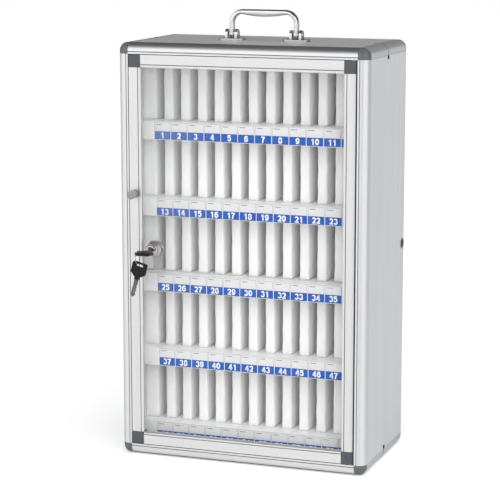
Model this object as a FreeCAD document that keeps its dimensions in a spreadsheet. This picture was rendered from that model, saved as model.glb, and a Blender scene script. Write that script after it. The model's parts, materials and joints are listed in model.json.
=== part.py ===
import FreeCAD, Part
import math
import os
import re
import Sketcher

# Lockable aluminium cabinet that stores sixty phones in five rows of numbered slots.
# Millimetres, +Z up. Origin: centre of the underside. The door is on the -Y side, hinged at +X.

# Driving dimensions: alias, value and what it is.
SIZES = {
    # carcass
    "cabinet_width": 370.0,       # outside, left to right
    "cabinet_depth": 200.0,       # outside, front to back
    "cabinet_height": 600.0,      # outside, without the handle
    "corner_round": 12.0,         # radius of every outside edge
    "face_width": 16.0,           # frame profile seen from the front
    "ring_depth": 26.0,           # frame profile, front to back
    "profile_wall": 2.0,          # wall of the hollow frame profile
    "groove_width": 1.2,          # shadow groove on the frame's front face
    "groove_depth": 0.7,
    "groove_offset": 0.3,         # from the end of the rounding
    "sheet_thick": 1.5,           # outer panels
    "sheet_gap": 0.25,            # joint line round an outer panel
    "flange_reach": 8.0,          # profile flange under a panel
    "edge_wall": 3.0,             # depth-edge profile, outer face to inner face
    "seam_place": -3.0,           # seam of the depth edges, measured from mid-depth
    "seam_gap": 1.6,
    "seam_play": 0.05,
    "slot_length": 5.5,           # slot in the panels at each end of a seam
    "slot_width": 8.0,
    "joiner_length": 30.0,
    "joiner_set": 0.5,            # joiner below the outer face
    "joiner_root": 2.5,           # depth of the fin where it meets the joiner's core
    "cap_core": 6.0,              # core of a corner cap, from the outer faces
    "spigot_length": 14.0,        # spigots that hold the profiles together
    "spigot_play": 0.4,
    "back_recess": 1.5,           # back panel behind the rear face
    "overrun": 1.0,               # how far a cutting tool runs past a face
    # lining, shelves and slots
    "board_thick": 13.0,
    "back_board": 3.0,
    "shelf_thick": 2.0,
    "shelf_front": -70.0,         # front face of the label rails
    "rail_height": 26.0,
    "top_floor": 486.0,           # height of the top row's floor
    "row_pitch": 110.4,
    "slot_pitch": 25.8,
    "divider_thick": 14.4,
    "divider_front": -48.0,
    "label_pitch": 25.4,
    "label_width": 24.2,
    "label_thick": 0.4,
    "plate_height": 11.6,
    "plate_drop": 13.6,           # top of the number plate below the floor
    "card_height": 12.6,
    "card_drop": 0.5,
    "strip_start_1": -141.3,      # the label strips are stuck on by hand, so each starts elsewhere
    "strip_start_2": -138.8,
    "strip_start_3": -138.3,
    "strip_start_4": -136.6,
    "strip_start_5": -141.3,
    # wall fixing
    "wall_hole_radius": 3.25,
    "wall_hole_x": 116.1,
    "wall_hole_low": 90.0,
    "wall_hole_high": 540.0,
    "wall_hole_depth": 12.0,
    # door
    "door_gap": 1.0,
    "door_thick": 16.0,
    "stile_width": 18.0,
    "door_wall": 1.5,
    "bead_width": 3.6,            # bead beside the glazing
    "bead_edge": 1.0,
    "bead_groove": 1.0,
    "bead_groove_depth": 0.9,
    "notch_radius": 2.6,          # notch in a corner block's inner corner
    "pane_thick": 3.0,
    "pane_setback": 4.0,
    "pane_bite": 4.5,             # depth of the pane in its channel
    "rear_inset": 2.5,            # door profile's rear lip, back from its front edge
    "gasket_wall": 0.5,
    "gasket_lip": 0.4,
    "pivot_inset": 5.0,           # hinge axis from the door's right and front faces
    "pin_radius": 2.0,
    "pin_play": 0.06,
    "pin_in_door": 11.0,
    "pin_in_frame": 7.0,
    "bush_radius": 3.0,
    "bush_length": 12.0,
    "bush_flange_radius": 4.2,
    "bush_flange": 0.6,
    "knob_x": -160.0,
    "knob_z": 385.0,
    "knob_radius": 6.3,
    "knob_length": 16.0,
    "knob_neck_radius": 4.5,
    "knob_neck": 3.0,
    "knob_flare": 9.0,            # where the knob reaches its full radius
    "knob_edge": 1.5,
    "knob_socket": 8.0,           # depth of the screw in the knob
    "nut_head": 2.0,              # thickness of the knob screw's head
    # lock and keys
    "lock_x": -134.0,
    "lock_z": 305.0,
    "barrel_radius": 10.2,
    "rosette_radius": 12.0,
    "rosette_thick": 4.5,
    "rosette_rim": 1.0,
    "rosette_bevel": 1.2,
    "barrel_bevel": 1.0,
    "barrel_proud": 12.0,         # barrel in front of the pane
    "barrel_behind": 14.5,        # barrel behind the pane's front face
    "plug_radius": 6.0,
    "plug_play": 0.05,
    "nut_radius": 13.5,
    "nut_thick": 5.0,
    "lock_gap": 0.5,              # plug behind the barrel's face, and cam behind the barrel
    "cam_thick": 2.5,
    "cam_length": 32.0,
    "cam_width": 14.0,
    "cam_screw_head": 5.2,
    "cam_screw_thick": 2.5,
    "cam_screw_bite": 4.0,
    "tail_size": 7.0,
    "keyway_width": 6.6,
    "keyway_height": 2.4,
    "keyway_depth": 21.5,
    "blade_width": 6.0,
    "blade_thick": 1.8,
    "blade_length": 26.0,
    "blade_tip": 3.0,
    "blade_tip_half": 1.0,
    "cut_first": 10.0,            # first of the blade's cuts, from its shoulder
    "cut_pitch": 4.5,
    "cut_half": 1.6,
    "cut_floor_half": 0.4,
    "cut_depth": 1.1,
    "bow_width": 22.4,
    "bow_length": 25.0,
    "bow_thick": 4.2,
    "bow_bar": 2.2,
    "bow_slot": 4.0,
    "bow_slot_half": 5.6,
    "bow_neck_half": 3.5,
    "bow_neck": 3.0,
    "bow_shoulder": 9.0,
    "bow_corner": 3.0,
    "neck_proud": 7.5,            # key's shoulder in front of the lock
    "link_radius": 9.2,           # split ring, to the wire's centre
    "link_wire": 0.6,
    "link_x": -137.5,
    "link_y": -144.5,
    "link_z": 301.5,
    "spare_tilt": 15.0,
    "spare_hook": 3.5,            # where the ring sits in the spare key's slot
    "spare_play": 0.35,
    "keeper_height": 20.0,
    "keeper_reach": 9.5,
    "keeper_thick": 1.5,
    "keeper_gap": 0.5,
    # handle
    "handle_half": 48.5,          # leg centre from the middle
    "handle_leg": 3.6,            # half the leg's thickness
    "handle_deep": 5.5,           # half the handle's depth, front to back
    "handle_rise": 35.0,          # top of the grip above the pivot
    "handle_outer": 19.0,         # outer radius of the bends
    "handle_inner": 12.0,
    "grip_end": 6.6,              # height of the grip beside the bends
    "grip_belly": 3.6,            # how much deeper it is in the middle
    "handle_edge": 3.0,
    "pivot_rise": 9.0,            # handle pivot above the top panel
    "handle_pin": 2.0,
    "pin_head": 1.0,              # head of a handle pin, proud of it and thick
    "ear_gap": 5.2,
    "ear_thick": 4.0,
    "ear_radius": 6.5,
    "foot_length": 36.0,
    "foot_width": 22.0,
    "foot_thick": 2.5,
    "foot_round": 7.0,
    "screw_radius": 2.0,
    "screw_head": 3.7,
    "screw_head_thick": 1.4,
    "screw_offset": 14.0,
    "screw_length": 13.5,
    "screw_play": 0.5,
    # cable outlet
    "outlet_y": 81.5,
    "outlet_z": 304.0,
    "outlet_bore": 5.8,
    "outlet_sleeve": 6.4,
    "outlet_flange": 7.2,
    "outlet_flange_thick": 0.8,
    "outlet_clearance": 9.0,
}
ROWS = 5
COLUMNS = 12
OUTLET_ROW = 3                    # row whose last foam block the cable passes through
STEP_FOLDER = "parts"

X_AXIS = FreeCAD.Vector(1, 0, 0)
Y_AXIS = FreeCAD.Vector(0, 1, 0)
Z_AXIS = FreeCAD.Vector(0, 0, 1)
SIGNS = (-1, 1)

os.makedirs(STEP_FOLDER, exist_ok=True)
doc = FreeCAD.newDocument("PhoneCabinet")
sheet = doc.addObject("Spreadsheet::Sheet", "Sizes")
for line, (alias, value) in enumerate(SIZES.items(), start=1):
    sheet.set("A%d" % line, alias)
    sheet.set("B%d" % line, "%g" % value)
    sheet.setAlias("B%d" % line, alias)
doc.recompute()

nodes = []


def bound(text):
    """An expression in which every alias names its cell."""
    def cell(word):
        return "Sizes." + word.group(0) if word.group(0) in SIZES else word.group(0)
    return re.sub(r"[a-z][a-z_0-9]+", cell, str(text))


def node(name, thing):
    """Give a finished sub-part its label and list it for export."""
    thing.Label = name
    nodes.append(thing)
    return thing


def put(thing, place, rotation=FreeCAD.Rotation()):
    """Bind the object's place to expressions (x, y, z)."""
    thing.Placement = FreeCAD.Placement(FreeCAD.Vector(), rotation)
    for axis, text in zip("xyz", place):
        thing.setExpression(".Placement.Base." + axis, bound(text))
    return thing


def box(x, y, z):
    """A block from three (low, high) pairs of expressions."""
    thing = doc.addObject("Part::Box", "Block")
    for side, (low, high) in zip(("Length", "Width", "Height"), (x, y, z)):
        thing.setExpression(side, bound("(%s) - (%s)" % (high, low)))
    return put(thing, [pair[0] for pair in (x, y, z)])


def rod(radius, low, high, across, axis="z"):
    """A cylinder along an axis from low to high; across holds its other two places in X, Y, Z order."""
    thing = doc.addObject("Part::Cylinder", "Rod")
    thing.setExpression("Radius", bound(radius))
    thing.setExpression("Height", bound("(%s) - (%s)" % (high, low)))
    place, lay = {
        "x": ((low, across[0], across[1]), FreeCAD.Rotation(Y_AXIS, 90)),
        "y": ((across[0], low, across[1]), FreeCAD.Rotation(X_AXIS, -90)),
        "z": ((across[0], across[1], low), FreeCAD.Rotation()),
    }[axis]
    return put(thing, place, lay)


def fused(*pieces):
    thing = doc.addObject("Part::MultiFuse", "Joined")
    thing.Shapes = list(pieces)
    return thing


def cut(base, *tools):
    thing = doc.addObject("Part::Cut", "Trimmed")
    thing.Base = base
    thing.Tool = tools[0] if len(tools) == 1 else fused(*tools)
    return thing


def shared(first, second):
    thing = doc.addObject("Part::Common", "Shared")
    thing.Base = first
    thing.Tool = second
    return thing


def group(pieces):
    thing = doc.addObject("Part::Compound", "Group")
    thing.Links = list(pieces)
    return thing


def new_body(name):
    return doc.addObject("PartDesign::Body", name)


def origin_plane(body, role):
    return next(item for item in body.Origin.OriginFeatures if item.Role == role)


def outline_sketch(body, loops):
    """A sketch of closed loops on the body's XY plane.

    A loop is a list of (x, y) expressions; a third entry is the signed radius of the arc that leads on
    to the next point, positive when it turns left. Every point is dimensioned from the sketch's origin.
    """
    sketch = body.newObject("Sketcher::SketchObject", "Outline")
    sketch.AttachmentSupport = [(origin_plane(body, "XY_Plane"), "")]
    sketch.MapMode = "FlatFace"
    for loop in loops:
        add_loop(sketch, loop)
    return sketch


def value_of(text):
    """The present value of an expression, which starts the sketch near its solution."""
    probe = sheet.evalExpression(bound(text))
    return float(getattr(probe, "Value", probe))


def turns_right(point):
    return len(point) == 3 and str(point[2]).startswith("-")


def ends_of(point):
    """Sketch arcs run anticlockwise, so one that turns right starts at its second end."""
    return (2, 1) if turns_right(point) else (1, 2)


def arc_between(here, there, radius):
    """The shorter arc from here to there; a positive radius turns left."""
    chord = there - here
    across = FreeCAD.Vector(-chord.y, chord.x, 0).normalize()
    reach = math.sqrt(max(radius * radius - chord.Length ** 2 / 4, 0.0))
    centre = here + chord * 0.5 + across * math.copysign(reach, radius)
    angles = [math.atan2(p.y - centre.y, p.x - centre.x) for p in (here, there)]
    first, last = angles if radius > 0 else reversed(angles)
    if last < first:
        last += 2 * math.pi
    return Part.ArcOfCircle(Part.Circle(centre, Z_AXIS, abs(radius)), first, last)


def add_loop(sketch, loop):
    start = sketch.GeometryCount
    places = [FreeCAD.Vector(value_of(p[0]), value_of(p[1]), 0) for p in loop]
    for index, point in enumerate(loop):
        here, there = places[index], places[(index + 1) % len(loop)]
        if len(point) == 3:
            sketch.addGeometry(arc_between(here, there, value_of(point[2])))
        else:
            sketch.addGeometry(Part.LineSegment(here, there))
    for index, point in enumerate(loop):
        after = (index + 1) % len(loop)
        end, beginning = ends_of(point)[1], ends_of(loop[after])[0]
        sketch.addConstraint(Sketcher.Constraint("Coincident", start + index, end, start + after, beginning))
        for kind, text in (("DistanceX", point[0]), ("DistanceY", point[1])):
            pin_point(sketch, kind, start + index, ends_of(point)[0], text)
        if len(point) == 3:
            radius = str(point[2]).lstrip("-")
            added = sketch.addConstraint(Sketcher.Constraint("Radius", start + index, value_of(radius)))
            sketch.setExpression("Constraints[%d]" % added, bound(radius))


def pin_point(sketch, kind, geometry, end, text):
    """Hold one coordinate of a point: on the axis where it is 0, otherwise at its bound distance."""
    if str(text) == "0":
        axis = -2 if kind == "DistanceX" else -1
        sketch.addConstraint(Sketcher.Constraint("PointOnObject", geometry, end, axis))
        return
    added = sketch.addConstraint(Sketcher.Constraint(kind, geometry, end, value_of(text)))
    sketch.setExpression("Constraints[%d]" % added, bound(text))


def extrusion(name, loops, length):
    """A PartDesign body: closed loops padded along its own Z."""
    body = new_body(name)
    sketch = outline_sketch(body, loops)
    pad = body.newObject("PartDesign::Pad", "Pad")
    pad.Profile = sketch
    pad.setExpression("Length", bound(length))
    return body


def turned(name, loop):
    """A PartDesign body: a closed loop turned about its own Y axis."""
    body = new_body(name)
    sketch = outline_sketch(body, [loop])
    turn = body.newObject("PartDesign::Revolution", "Turn")
    turn.Profile = sketch
    turn.ReferenceAxis = (sketch, ["V_Axis"])
    turn.Angle = 360
    return body


def facing(x_direction, y_direction):
    """The rotation that lays a body's own X and Y along two directions of the cabinet."""
    return FreeCAD.Rotation(x_direction, y_direction, x_direction.cross(y_direction), "XYZ")


# ---------------------------------------------------------------- frames
# A frame profile's section is drawn with X from its outer edge inwards and Y from its face backwards.
HALF_WIDTH = "cabinet_width / 2"
HALF_DEPTH = "cabinet_depth / 2"
INNER_HALF = "(cabinet_width / 2 - face_width)"


def on_side(body, side, reach, low, high, face, trim, rear=False):
    """Lay a profile along one side of a rectangular frame; trim is its distance from the frame's corners."""
    back = -Y_AXIS if rear else Y_AXIS
    inward = {"left": X_AXIS, "right": -X_AXIS, "top": -Z_AXIS, "bottom": Z_AXIS}[side]
    along = inward.cross(back)
    place = {"left": ["-(%s)" % reach, face, None], "right": [reach, face, None],
             "top": [None, face, high], "bottom": [None, face, low]}[side]
    if side in ("left", "right"):
        place[2] = "(%s) + (%s)" % (low, trim) if along.z > 0 else "(%s) - (%s)" % (high, trim)
    else:
        place[0] = "(%s) - (%s)" % (trim, reach) if along.x > 0 else "(%s) - (%s)" % (reach, trim)
    return put(body, place, facing(inward, back))


def ring_section(grooved):
    """Hollow profile: rounded outside edge, flat face, recessed flange under the panel."""
    groove_start = "corner_round + groove_offset"
    groove = [(groove_start, "0"), (groove_start + " + groove_width / 2", "groove_depth"),
              (groove_start + " + groove_width", "0")]
    outside = [("0", "corner_round", "corner_round"), ("corner_round", "0")]
    outside += groove if grooved else []
    outside += [("face_width", "0"), ("face_width", "ring_depth"), ("sheet_thick", "ring_depth"),
                ("sheet_thick", "corner_round")]
    inner = "profile_wall + sheet_thick"
    hollow = [(inner, "corner_round"), ("corner_round", inner), ("face_width - profile_wall", inner),
              ("face_width - profile_wall", "ring_depth - profile_wall"),
              (inner, "ring_depth - profile_wall")]
    return [outside, hollow]


def ring_side(side, rear):
    name = "frame_%s_%s" % ("rear" if rear else "front", side)
    run = "cabinet_height" if side in ("left", "right") else "cabinet_width"
    body = extrusion(name + "_profile", ring_section(grooved=not rear), run + " - 2 * face_width")
    face = HALF_DEPTH if rear else "-" + HALF_DEPTH
    on_side(body, side, HALF_WIDTH, "0", "cabinet_height", face, "face_width", rear)
    return name, body


HINGE_X = "(cabinet_width / 2 - face_width - door_gap - pivot_inset)"
HINGE_Y = "(pivot_inset - cabinet_depth / 2)"
DOOR_LOW = "(face_width + door_gap)"
DOOR_HIGH = "(cabinet_height - face_width - door_gap)"
DOOR_HALF = "(cabinet_width / 2 - face_width - door_gap)"

HINGE = (HINGE_X, HINGE_Y)
CEILING = "(cabinet_height - face_width)"
OUTLET = ("outlet_y", "outlet_z")

# The hinge pins stand in the front frame, and the cable outlet goes through the rear one.
FRAME_HOLES = {
    "frame_front_top": rod("pin_radius", CEILING + " - overrun", CEILING + " + pin_in_frame", HINGE),
    "frame_front_bottom": rod("pin_radius", "face_width - pin_in_frame", "face_width + overrun", HINGE),
    "frame_rear_right": rod("outlet_sleeve", INNER_HALF + " - overrun", HALF_WIDTH, OUTLET, "x"),
}
for rear in (False, True):
    for side in ("top", "bottom", "left", "right"):
        name, body = ring_side(side, rear)
        node(name, cut(body, FRAME_HOLES[name]) if name in FRAME_HOLES else body)

# The cabinet's outside, rounded on every edge: the corner caps are cut from it.
envelope = new_body("Envelope")
outside = outline_sketch(envelope, [[("-" + HALF_WIDTH, "-" + HALF_DEPTH), (HALF_WIDTH, "-" + HALF_DEPTH),
                                     (HALF_WIDTH, HALF_DEPTH), ("-" + HALF_WIDTH, HALF_DEPTH)]])
block = envelope.newObject("PartDesign::Pad", "Block")
block.Profile = outside
block.setExpression("Length", bound("cabinet_height"))
doc.recompute()
rounding = envelope.newObject("PartDesign::Fillet", "Rounding")
rounding.Base = (block, ["Edge%d" % (i + 1) for i in range(len(block.Shape.Edges))])
rounding.setExpression("Radius", bound("corner_round"))


def from_corner(sides, u, v, w):
    """A block given by its distances inwards from one corner: u from the side, v from the front or rear,
    w from the top or bottom. sides is a sign for each of X, Y and Z."""
    faces = (("-" + HALF_WIDTH, HALF_WIDTH), ("-" + HALF_DEPTH, HALF_DEPTH), ("0", "cabinet_height"))
    spans = []
    for sign, (low_face, high_face), (near, far) in zip(sides, faces, (u, v, w)):
        if sign < 0:
            spans.append((low_face + " + " + near, low_face + " + " + far))
        else:
            spans.append((high_face + " - (" + far + ")", high_face + " - (" + near + ")"))
    return box(*spans)


def corner_cap(sides):
    """Rounded cap with a core and two spigots that fill the ends of its frame profiles."""
    across = ("0", "face_width")
    shell = shared(envelope, from_corner(sides, across, ("0", "corner_round"), across))
    core = ("cap_core", "face_width")
    spigot = ("profile_wall + sheet_thick + spigot_play", "face_width - profile_wall - spigot_play")
    reach = ("face_width", "face_width + spigot_length")
    inside = ("corner_round - overrun", "ring_depth")
    deep = ("corner_round + spigot_play", "ring_depth - profile_wall - spigot_play")
    return fused(shell, from_corner(sides, core, inside, core), from_corner(sides, spigot, deep, reach),
                 from_corner(sides, reach, deep, spigot))


def edge_section():
    """Angle with a rounded back, and a recessed flange under each panel."""
    far = "face_width + flange_reach"
    return [[("0", "face_width"), ("0", "corner_round", "corner_round"), ("corner_round", "0"),
             ("face_width", "0"), ("face_width", "sheet_thick"), (far, "sheet_thick"), (far, "edge_wall"),
             ("corner_round", "edge_wall", "-(corner_round - edge_wall)"), ("edge_wall", "corner_round"),
             ("edge_wall", far), ("sheet_thick", far), ("sheet_thick", "face_width")]]


SHELL_HALF = "(cabinet_depth / 2 - corner_round)"
SEAM_FRONT = "(seam_place - seam_gap / 2)"
SEAM_REAR = "(seam_place + seam_gap / 2)"
EDGES = (((-1, -1), X_AXIS, Z_AXIS), ((-1, 1), -Z_AXIS, X_AXIS),
         ((1, 1), -X_AXIS, -Z_AXIS), ((1, -1), Z_AXIS, -X_AXIS))


def edge_half(signs, x_direction, y_direction, low, high):
    """One half of a depth edge; its pad runs towards the front, so it starts at its rear end."""
    body = extrusion("EdgeProfile", edge_section(), "(%s) - (%s)" % (high, low))
    side = HALF_WIDTH if signs[0] > 0 else "-" + HALF_WIDTH
    place = (side, high, "cabinet_height" if signs[1] > 0 else "0")
    put(body, place, facing(x_direction, y_direction))
    # The flanges stop at the frame profiles, which have flanges of their own.
    sides = (signs[0], -1 if high == SEAM_FRONT else 1, signs[1])
    beyond, under = ("face_width", "face_width + flange_reach + overrun"), ("0", "edge_wall + overrun")
    return cut(body, from_corner(sides, beyond, ("0", "ring_depth"), under),
               from_corner(sides, under, ("0", "ring_depth"), beyond))


def seam_joiner(signs):
    """Dark plastic joiner behind a seam: a quarter-round core, a fin that fills the seam, and a wider
    tongue at each end that fills the panels' slots."""
    def block(u, w, half):
        middle = "%s + seam_place" % HALF_DEPTH
        sides = (signs[0], -1, signs[1])
        return from_corner(sides, u, (middle + " - " + half, middle + " + " + half), w)

    quarter = ("edge_wall", "corner_round - seam_play")
    centre_x = "(cabinet_width / 2 - corner_round)" if signs[0] > 0 else "(corner_round - cabinet_width / 2)"
    centre_z = "cabinet_height - corner_round" if signs[1] > 0 else "corner_round"
    inner = rod("corner_round - edge_wall - seam_play", "seam_place - joiner_length / 2",
                "seam_place + joiner_length / 2", (centre_x, centre_z), "y")
    core = shared(inner, block(quarter, quarter, "joiner_length / 2"))
    thin = "(seam_gap / 2 - seam_play)"
    skin = ("joiner_set", "edge_wall - seam_play")
    run = ("corner_round - joiner_root", "face_width + slot_length - joiner_set")
    root = ("corner_round - joiner_root", "corner_round - seam_play")
    deep = ("joiner_set", "edge_wall + joiner_root")
    wide = "(slot_width / 2 - seam_play)"
    tongue = ("face_width + sheet_gap", "face_width + slot_length - joiner_set")
    sheet = ("joiner_set", "sheet_thick - seam_play")
    return fused(core, block(skin, run, thin), block(run, skin, thin), block(deep, root, thin),
                 block(root, deep, thin), block(sheet, tongue, wide), block(tongue, sheet, wide))


node("corner_caps", group([corner_cap((x, y, z)) for x in SIGNS for y in SIGNS for z in SIGNS]))
node("edge_profiles_front", group([edge_half(*edge, "-" + SHELL_HALF, SEAM_FRONT) for edge in EDGES]))
node("edge_profiles_rear", group([edge_half(*edge, SEAM_REAR, SHELL_HALF) for edge in EDGES]))
node("seam_joiners", group([seam_joiner((x, z)) for x in SIGNS for z in SIGNS]))

# ---------------------------------------------------------------- outer panels
PANEL_HALF_X = "(cabinet_width / 2 - face_width - sheet_gap)"
PANEL_Y = ("sheet_gap - " + SHELL_HALF, SHELL_HALF + " - sheet_gap")
SEAM_SLOT = ("seam_place - slot_width / 2", "seam_place + slot_width / 2")


def past(span):
    """The span of a cutting tool that goes right through."""
    return ("(%s) - overrun" % span[0], "(%s) + overrun" % span[1])


def side_panel(sign, *holes):
    x = ("cabinet_width / 2 - sheet_thick", HALF_WIDTH)
    if sign < 0:
        x = ("-" + HALF_WIDTH, "sheet_thick - cabinet_width / 2")
    z = ("face_width + sheet_gap", "cabinet_height - face_width - sheet_gap")
    lower_slot = box(past(x), SEAM_SLOT, ("0", "face_width + slot_length"))
    upper_slot = box(past(x), SEAM_SLOT, (CEILING + " - slot_length", "cabinet_height"))
    return cut(box(x, PANEL_Y, z), lower_slot, upper_slot, *holes)


def flat_panel(z, *holes):
    """Top or bottom panel."""
    end = INNER_HALF + " - slot_length"
    right_slot = box((end, HALF_WIDTH), SEAM_SLOT, past(z))
    left_slot = box(("-" + HALF_WIDTH, "-(%s)" % end), SEAM_SLOT, past(z))
    return cut(box(("-" + PANEL_HALF_X, PANEL_HALF_X), PANEL_Y, z), right_slot, left_slot, *holes)


# Each handle bracket has a screw on either side of its leg.
SCREW_PLACES = ["%d * (handle_half + %d * screw_offset)" % (sign, offset)
                for sign in SIGNS for offset in SIGNS]
SCREW_END = "(cabinet_height + foot_thick - screw_length)"


def screw_holes(radius, low, high):
    return [rod(radius, low, high, (x, "0")) for x in SCREW_PLACES]


def wall_holes():
    heights = ("wall_hole_low", "wall_hole_high")
    places = [("%d * wall_hole_x" % sign, height) for sign in SIGNS for height in heights]
    start = HALF_DEPTH + " - wall_hole_depth"
    return [rod("wall_hole_radius", start, HALF_DEPTH, place, "y") for place in places]


outlet_hole = rod("outlet_sleeve", "cabinet_width / 2 - edge_wall", "cabinet_width / 2 + overrun",
                  OUTLET, "x")
node("side_panel_left", side_panel(-1))
node("side_panel_right", side_panel(1, outlet_hole))
TOP_SHEET = ("cabinet_height - sheet_thick", "cabinet_height")
node("top_panel", flat_panel(TOP_SHEET, *screw_holes("screw_radius", *past(TOP_SHEET))))
node("bottom_panel", flat_panel(("0", "sheet_thick")))
BACK_OUTER = "(cabinet_depth / 2 - back_recess)"
BACK_INNER = "(cabinet_depth / 2 - back_recess - sheet_thick)"
INSIDE_X = ("-" + INNER_HALF, INNER_HALF)
INSIDE_Z = ("face_width", "cabinet_height - face_width")
node("back_panel", cut(box(INSIDE_X, (BACK_INNER, BACK_OUTER), INSIDE_Z), *wall_holes()))

# ---------------------------------------------------------------- lining
LINING_Y = ("ring_depth - cabinet_depth / 2", "cabinet_depth / 2 - ring_depth")
LINING_BACK = "(cabinet_depth / 2 - back_recess - sheet_thick - back_board)"
node("lining_back", cut(box(INSIDE_X, (LINING_BACK, BACK_INNER), INSIDE_Z), *wall_holes()))
RIGHT_BOARD = (INNER_HALF, INNER_HALF + " + board_thick")
LEFT_BOARD = ("-(%s + board_thick)" % INNER_HALF, "-" + INNER_HALF)
BOARD_Z = ("corner_round", "cabinet_height - corner_round")
node("lining_sides", group([box(x, LINING_Y, BOARD_Z) for x in (LEFT_BOARD, RIGHT_BOARD)]))
top_board = box(INSIDE_X, LINING_Y, (CEILING, CEILING + " + board_thick"))
wide_holes = screw_holes("screw_radius + screw_play", SCREW_END + " - 2 * overrun", "cabinet_height")
node("lining_top", cut(top_board, *wide_holes))
node("lining_bottom", box(INSIDE_X, LINING_Y, ("face_width - board_thick", "face_width")))

# ---------------------------------------------------------------- shelves, dividers and labels
def floor_of(row):
    return "(top_floor - %d * row_pitch)" % (row - 1)


def shelf(row):
    """Shelf with a turned-down rail that carries the labels."""
    floor = floor_of(row)
    plate = box(INSIDE_X, ("shelf_front", LINING_BACK), (floor + " - shelf_thick", floor))
    rail = box(INSIDE_X, ("shelf_front", "shelf_front + shelf_thick"), (floor + " - rail_height", floor))
    return fused(plate, rail)


def dividers(row):
    """Foam blocks with a slot between each two; the outermost reach the lining."""
    ceiling = CEILING if row == 1 else floor_of(row - 1) + " - shelf_thick"
    blocks = []
    for place in range(COLUMNS + 1):
        middle = "(%g * slot_pitch)" % (place - COLUMNS / 2)
        left = middle + " - divider_thick / 2" if place > 0 else INSIDE_X[0]
        right = middle + " + divider_thick / 2" if place < COLUMNS else INSIDE_X[1]
        block = box((left, right), ("divider_front", LINING_BACK), (floor_of(row), ceiling))
        if row == OUTLET_ROW and place == COLUMNS:
            block = cut(block, rod("outlet_clearance", *past((left, right)), OUTLET, "x"))
        blocks.append(block)
    return group(blocks)


def labels(drop, height):
    """One label of this kind under every slot."""
    pieces = []
    for row in range(1, ROWS + 1):
        upper = "(%s - %s)" % (floor_of(row), drop)
        for column in range(COLUMNS):
            left = "(strip_start_%d + %d * label_pitch)" % (row, column)
            pieces.append(box((left, left + " + label_width"), ("shelf_front - label_thick", "shelf_front"),
                              (upper + " - " + height, upper)))
    return group(pieces)


for row in range(1, ROWS + 1):
    node("shelf_%d" % row, shelf(row))
    node("dividers_row_%d" % row, dividers(row))
node("number_plates", labels("plate_drop", "plate_height"))
node("name_cards", labels("card_drop", "card_height"))

# ---------------------------------------------------------------- cable outlet
FLANGE_FACE = "cabinet_width / 2 + outlet_flange_thick"
sleeve = rod("outlet_sleeve", INNER_HALF, HALF_WIDTH, OUTLET, "x")
flange = rod("outlet_flange", HALF_WIDTH, FLANGE_FACE, OUTLET, "x")
outlet_bore = rod("outlet_bore", *past((INNER_HALF, FLANGE_FACE)), OUTLET, "x")
node("cable_grommet", cut(fused(sleeve, flange), outlet_bore))

# ---------------------------------------------------------------- door
DOOR_FRONT = "-" + HALF_DEPTH
DOOR_REAR = "(door_thick - cabinet_depth / 2)"
PANE_FRONT = "(pane_setback - cabinet_depth / 2)"
PANE_REAR = "(pane_setback + pane_thick - cabinet_depth / 2)"
CHANNEL_FRONT = "pane_setback - gasket_wall"
CHANNEL_REAR = "pane_setback + pane_thick + gasket_wall"
CHANNEL_FLOOR = "stile_width - pane_bite - gasket_wall"
REAR_LIP = "stile_width - rear_inset"
HOLLOW_START = "pivot_inset + gasket_wall"


def door_section(pivot_edge):
    """Hollow door profile: flat face, bead beside the glazing, channel for the gasket.

    The hinge stile's front edge is rounded about the hinge axis, so that it turns clear of the frame.
    """
    outline = [("0", "pivot_inset", "pivot_inset"), ("pivot_inset", "0")] if pivot_edge else [("0", "0")]
    bead = "stile_width - bead_width"
    outline += [(bead + " - bead_groove", "0"), (bead + " - bead_groove / 2", "bead_groove_depth"),
                (bead, "0"), ("stile_width - bead_edge", "0"), ("stile_width", "bead_edge"),
                ("stile_width", CHANNEL_FRONT),
                (CHANNEL_FLOOR, CHANNEL_FRONT), (CHANNEL_FLOOR, CHANNEL_REAR), (REAR_LIP, CHANNEL_REAR),
                (REAR_LIP, "door_thick"), ("0", "door_thick")]
    start = HOLLOW_START if pivot_edge else "door_wall"
    end = CHANNEL_FLOOR + " - door_wall"
    low, high = "door_wall", "door_thick - door_wall"
    return [outline, [(start, low), (end, low), (end, high), (start, high)]]


def door_side(side, pivot_edge=False):
    run = "(%s) - (%s)" % (DOOR_HIGH, DOOR_LOW) if side in ("left", "right") else "2 * " + DOOR_HALF
    body = extrusion("DoorProfile", door_section(pivot_edge), run + " - 2 * stile_width")
    return on_side(body, side, DOOR_HALF, DOOR_LOW, DOOR_HIGH, DOOR_FRONT, "stile_width")


KNOB = ("knob_x", "knob_z")
knob_hole = rod("screw_radius", *past((DOOR_FRONT, DOOR_REAR)), KNOB, "y")
node("door_stile_left", cut(door_side("left"), knob_hole))
node("door_stile_right", door_side("right", pivot_edge=True))
node("door_rail_top", door_side("top"))
node("door_rail_bottom", door_side("bottom"))


def from_door_corner(side_x, side_z, u, v, w):
    """A block given by its distances inwards from a corner of the door."""
    x = ("(%s) - %s" % (u[0], DOOR_HALF), "(%s) - %s" % (u[1], DOOR_HALF))
    if side_x > 0:
        x = ("%s - (%s)" % (DOOR_HALF, u[1]), "%s - (%s)" % (DOOR_HALF, u[0]))
    z = ("%s + (%s)" % (DOOR_LOW, w[0]), "%s + (%s)" % (DOOR_LOW, w[1]))
    if side_z > 0:
        z = ("%s - (%s)" % (DOOR_HIGH, w[1]), "%s - (%s)" % (DOOR_HIGH, w[0]))
    return box(x, ("%s + %s" % (v[0], DOOR_FRONT), "%s + %s" % (v[1], DOOR_FRONT)), z)


def door_end(side_z, inwards, outwards):
    """A height span at the door's top or bottom, by its distances inwards and outwards from there."""
    if side_z > 0:
        return ("%s - (%s)" % (DOOR_HIGH, inwards), "%s + (%s)" % (DOOR_HIGH, outwards))
    return ("%s - (%s)" % (DOOR_LOW, outwards), "%s + (%s)" % (DOOR_LOW, inwards))


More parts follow.
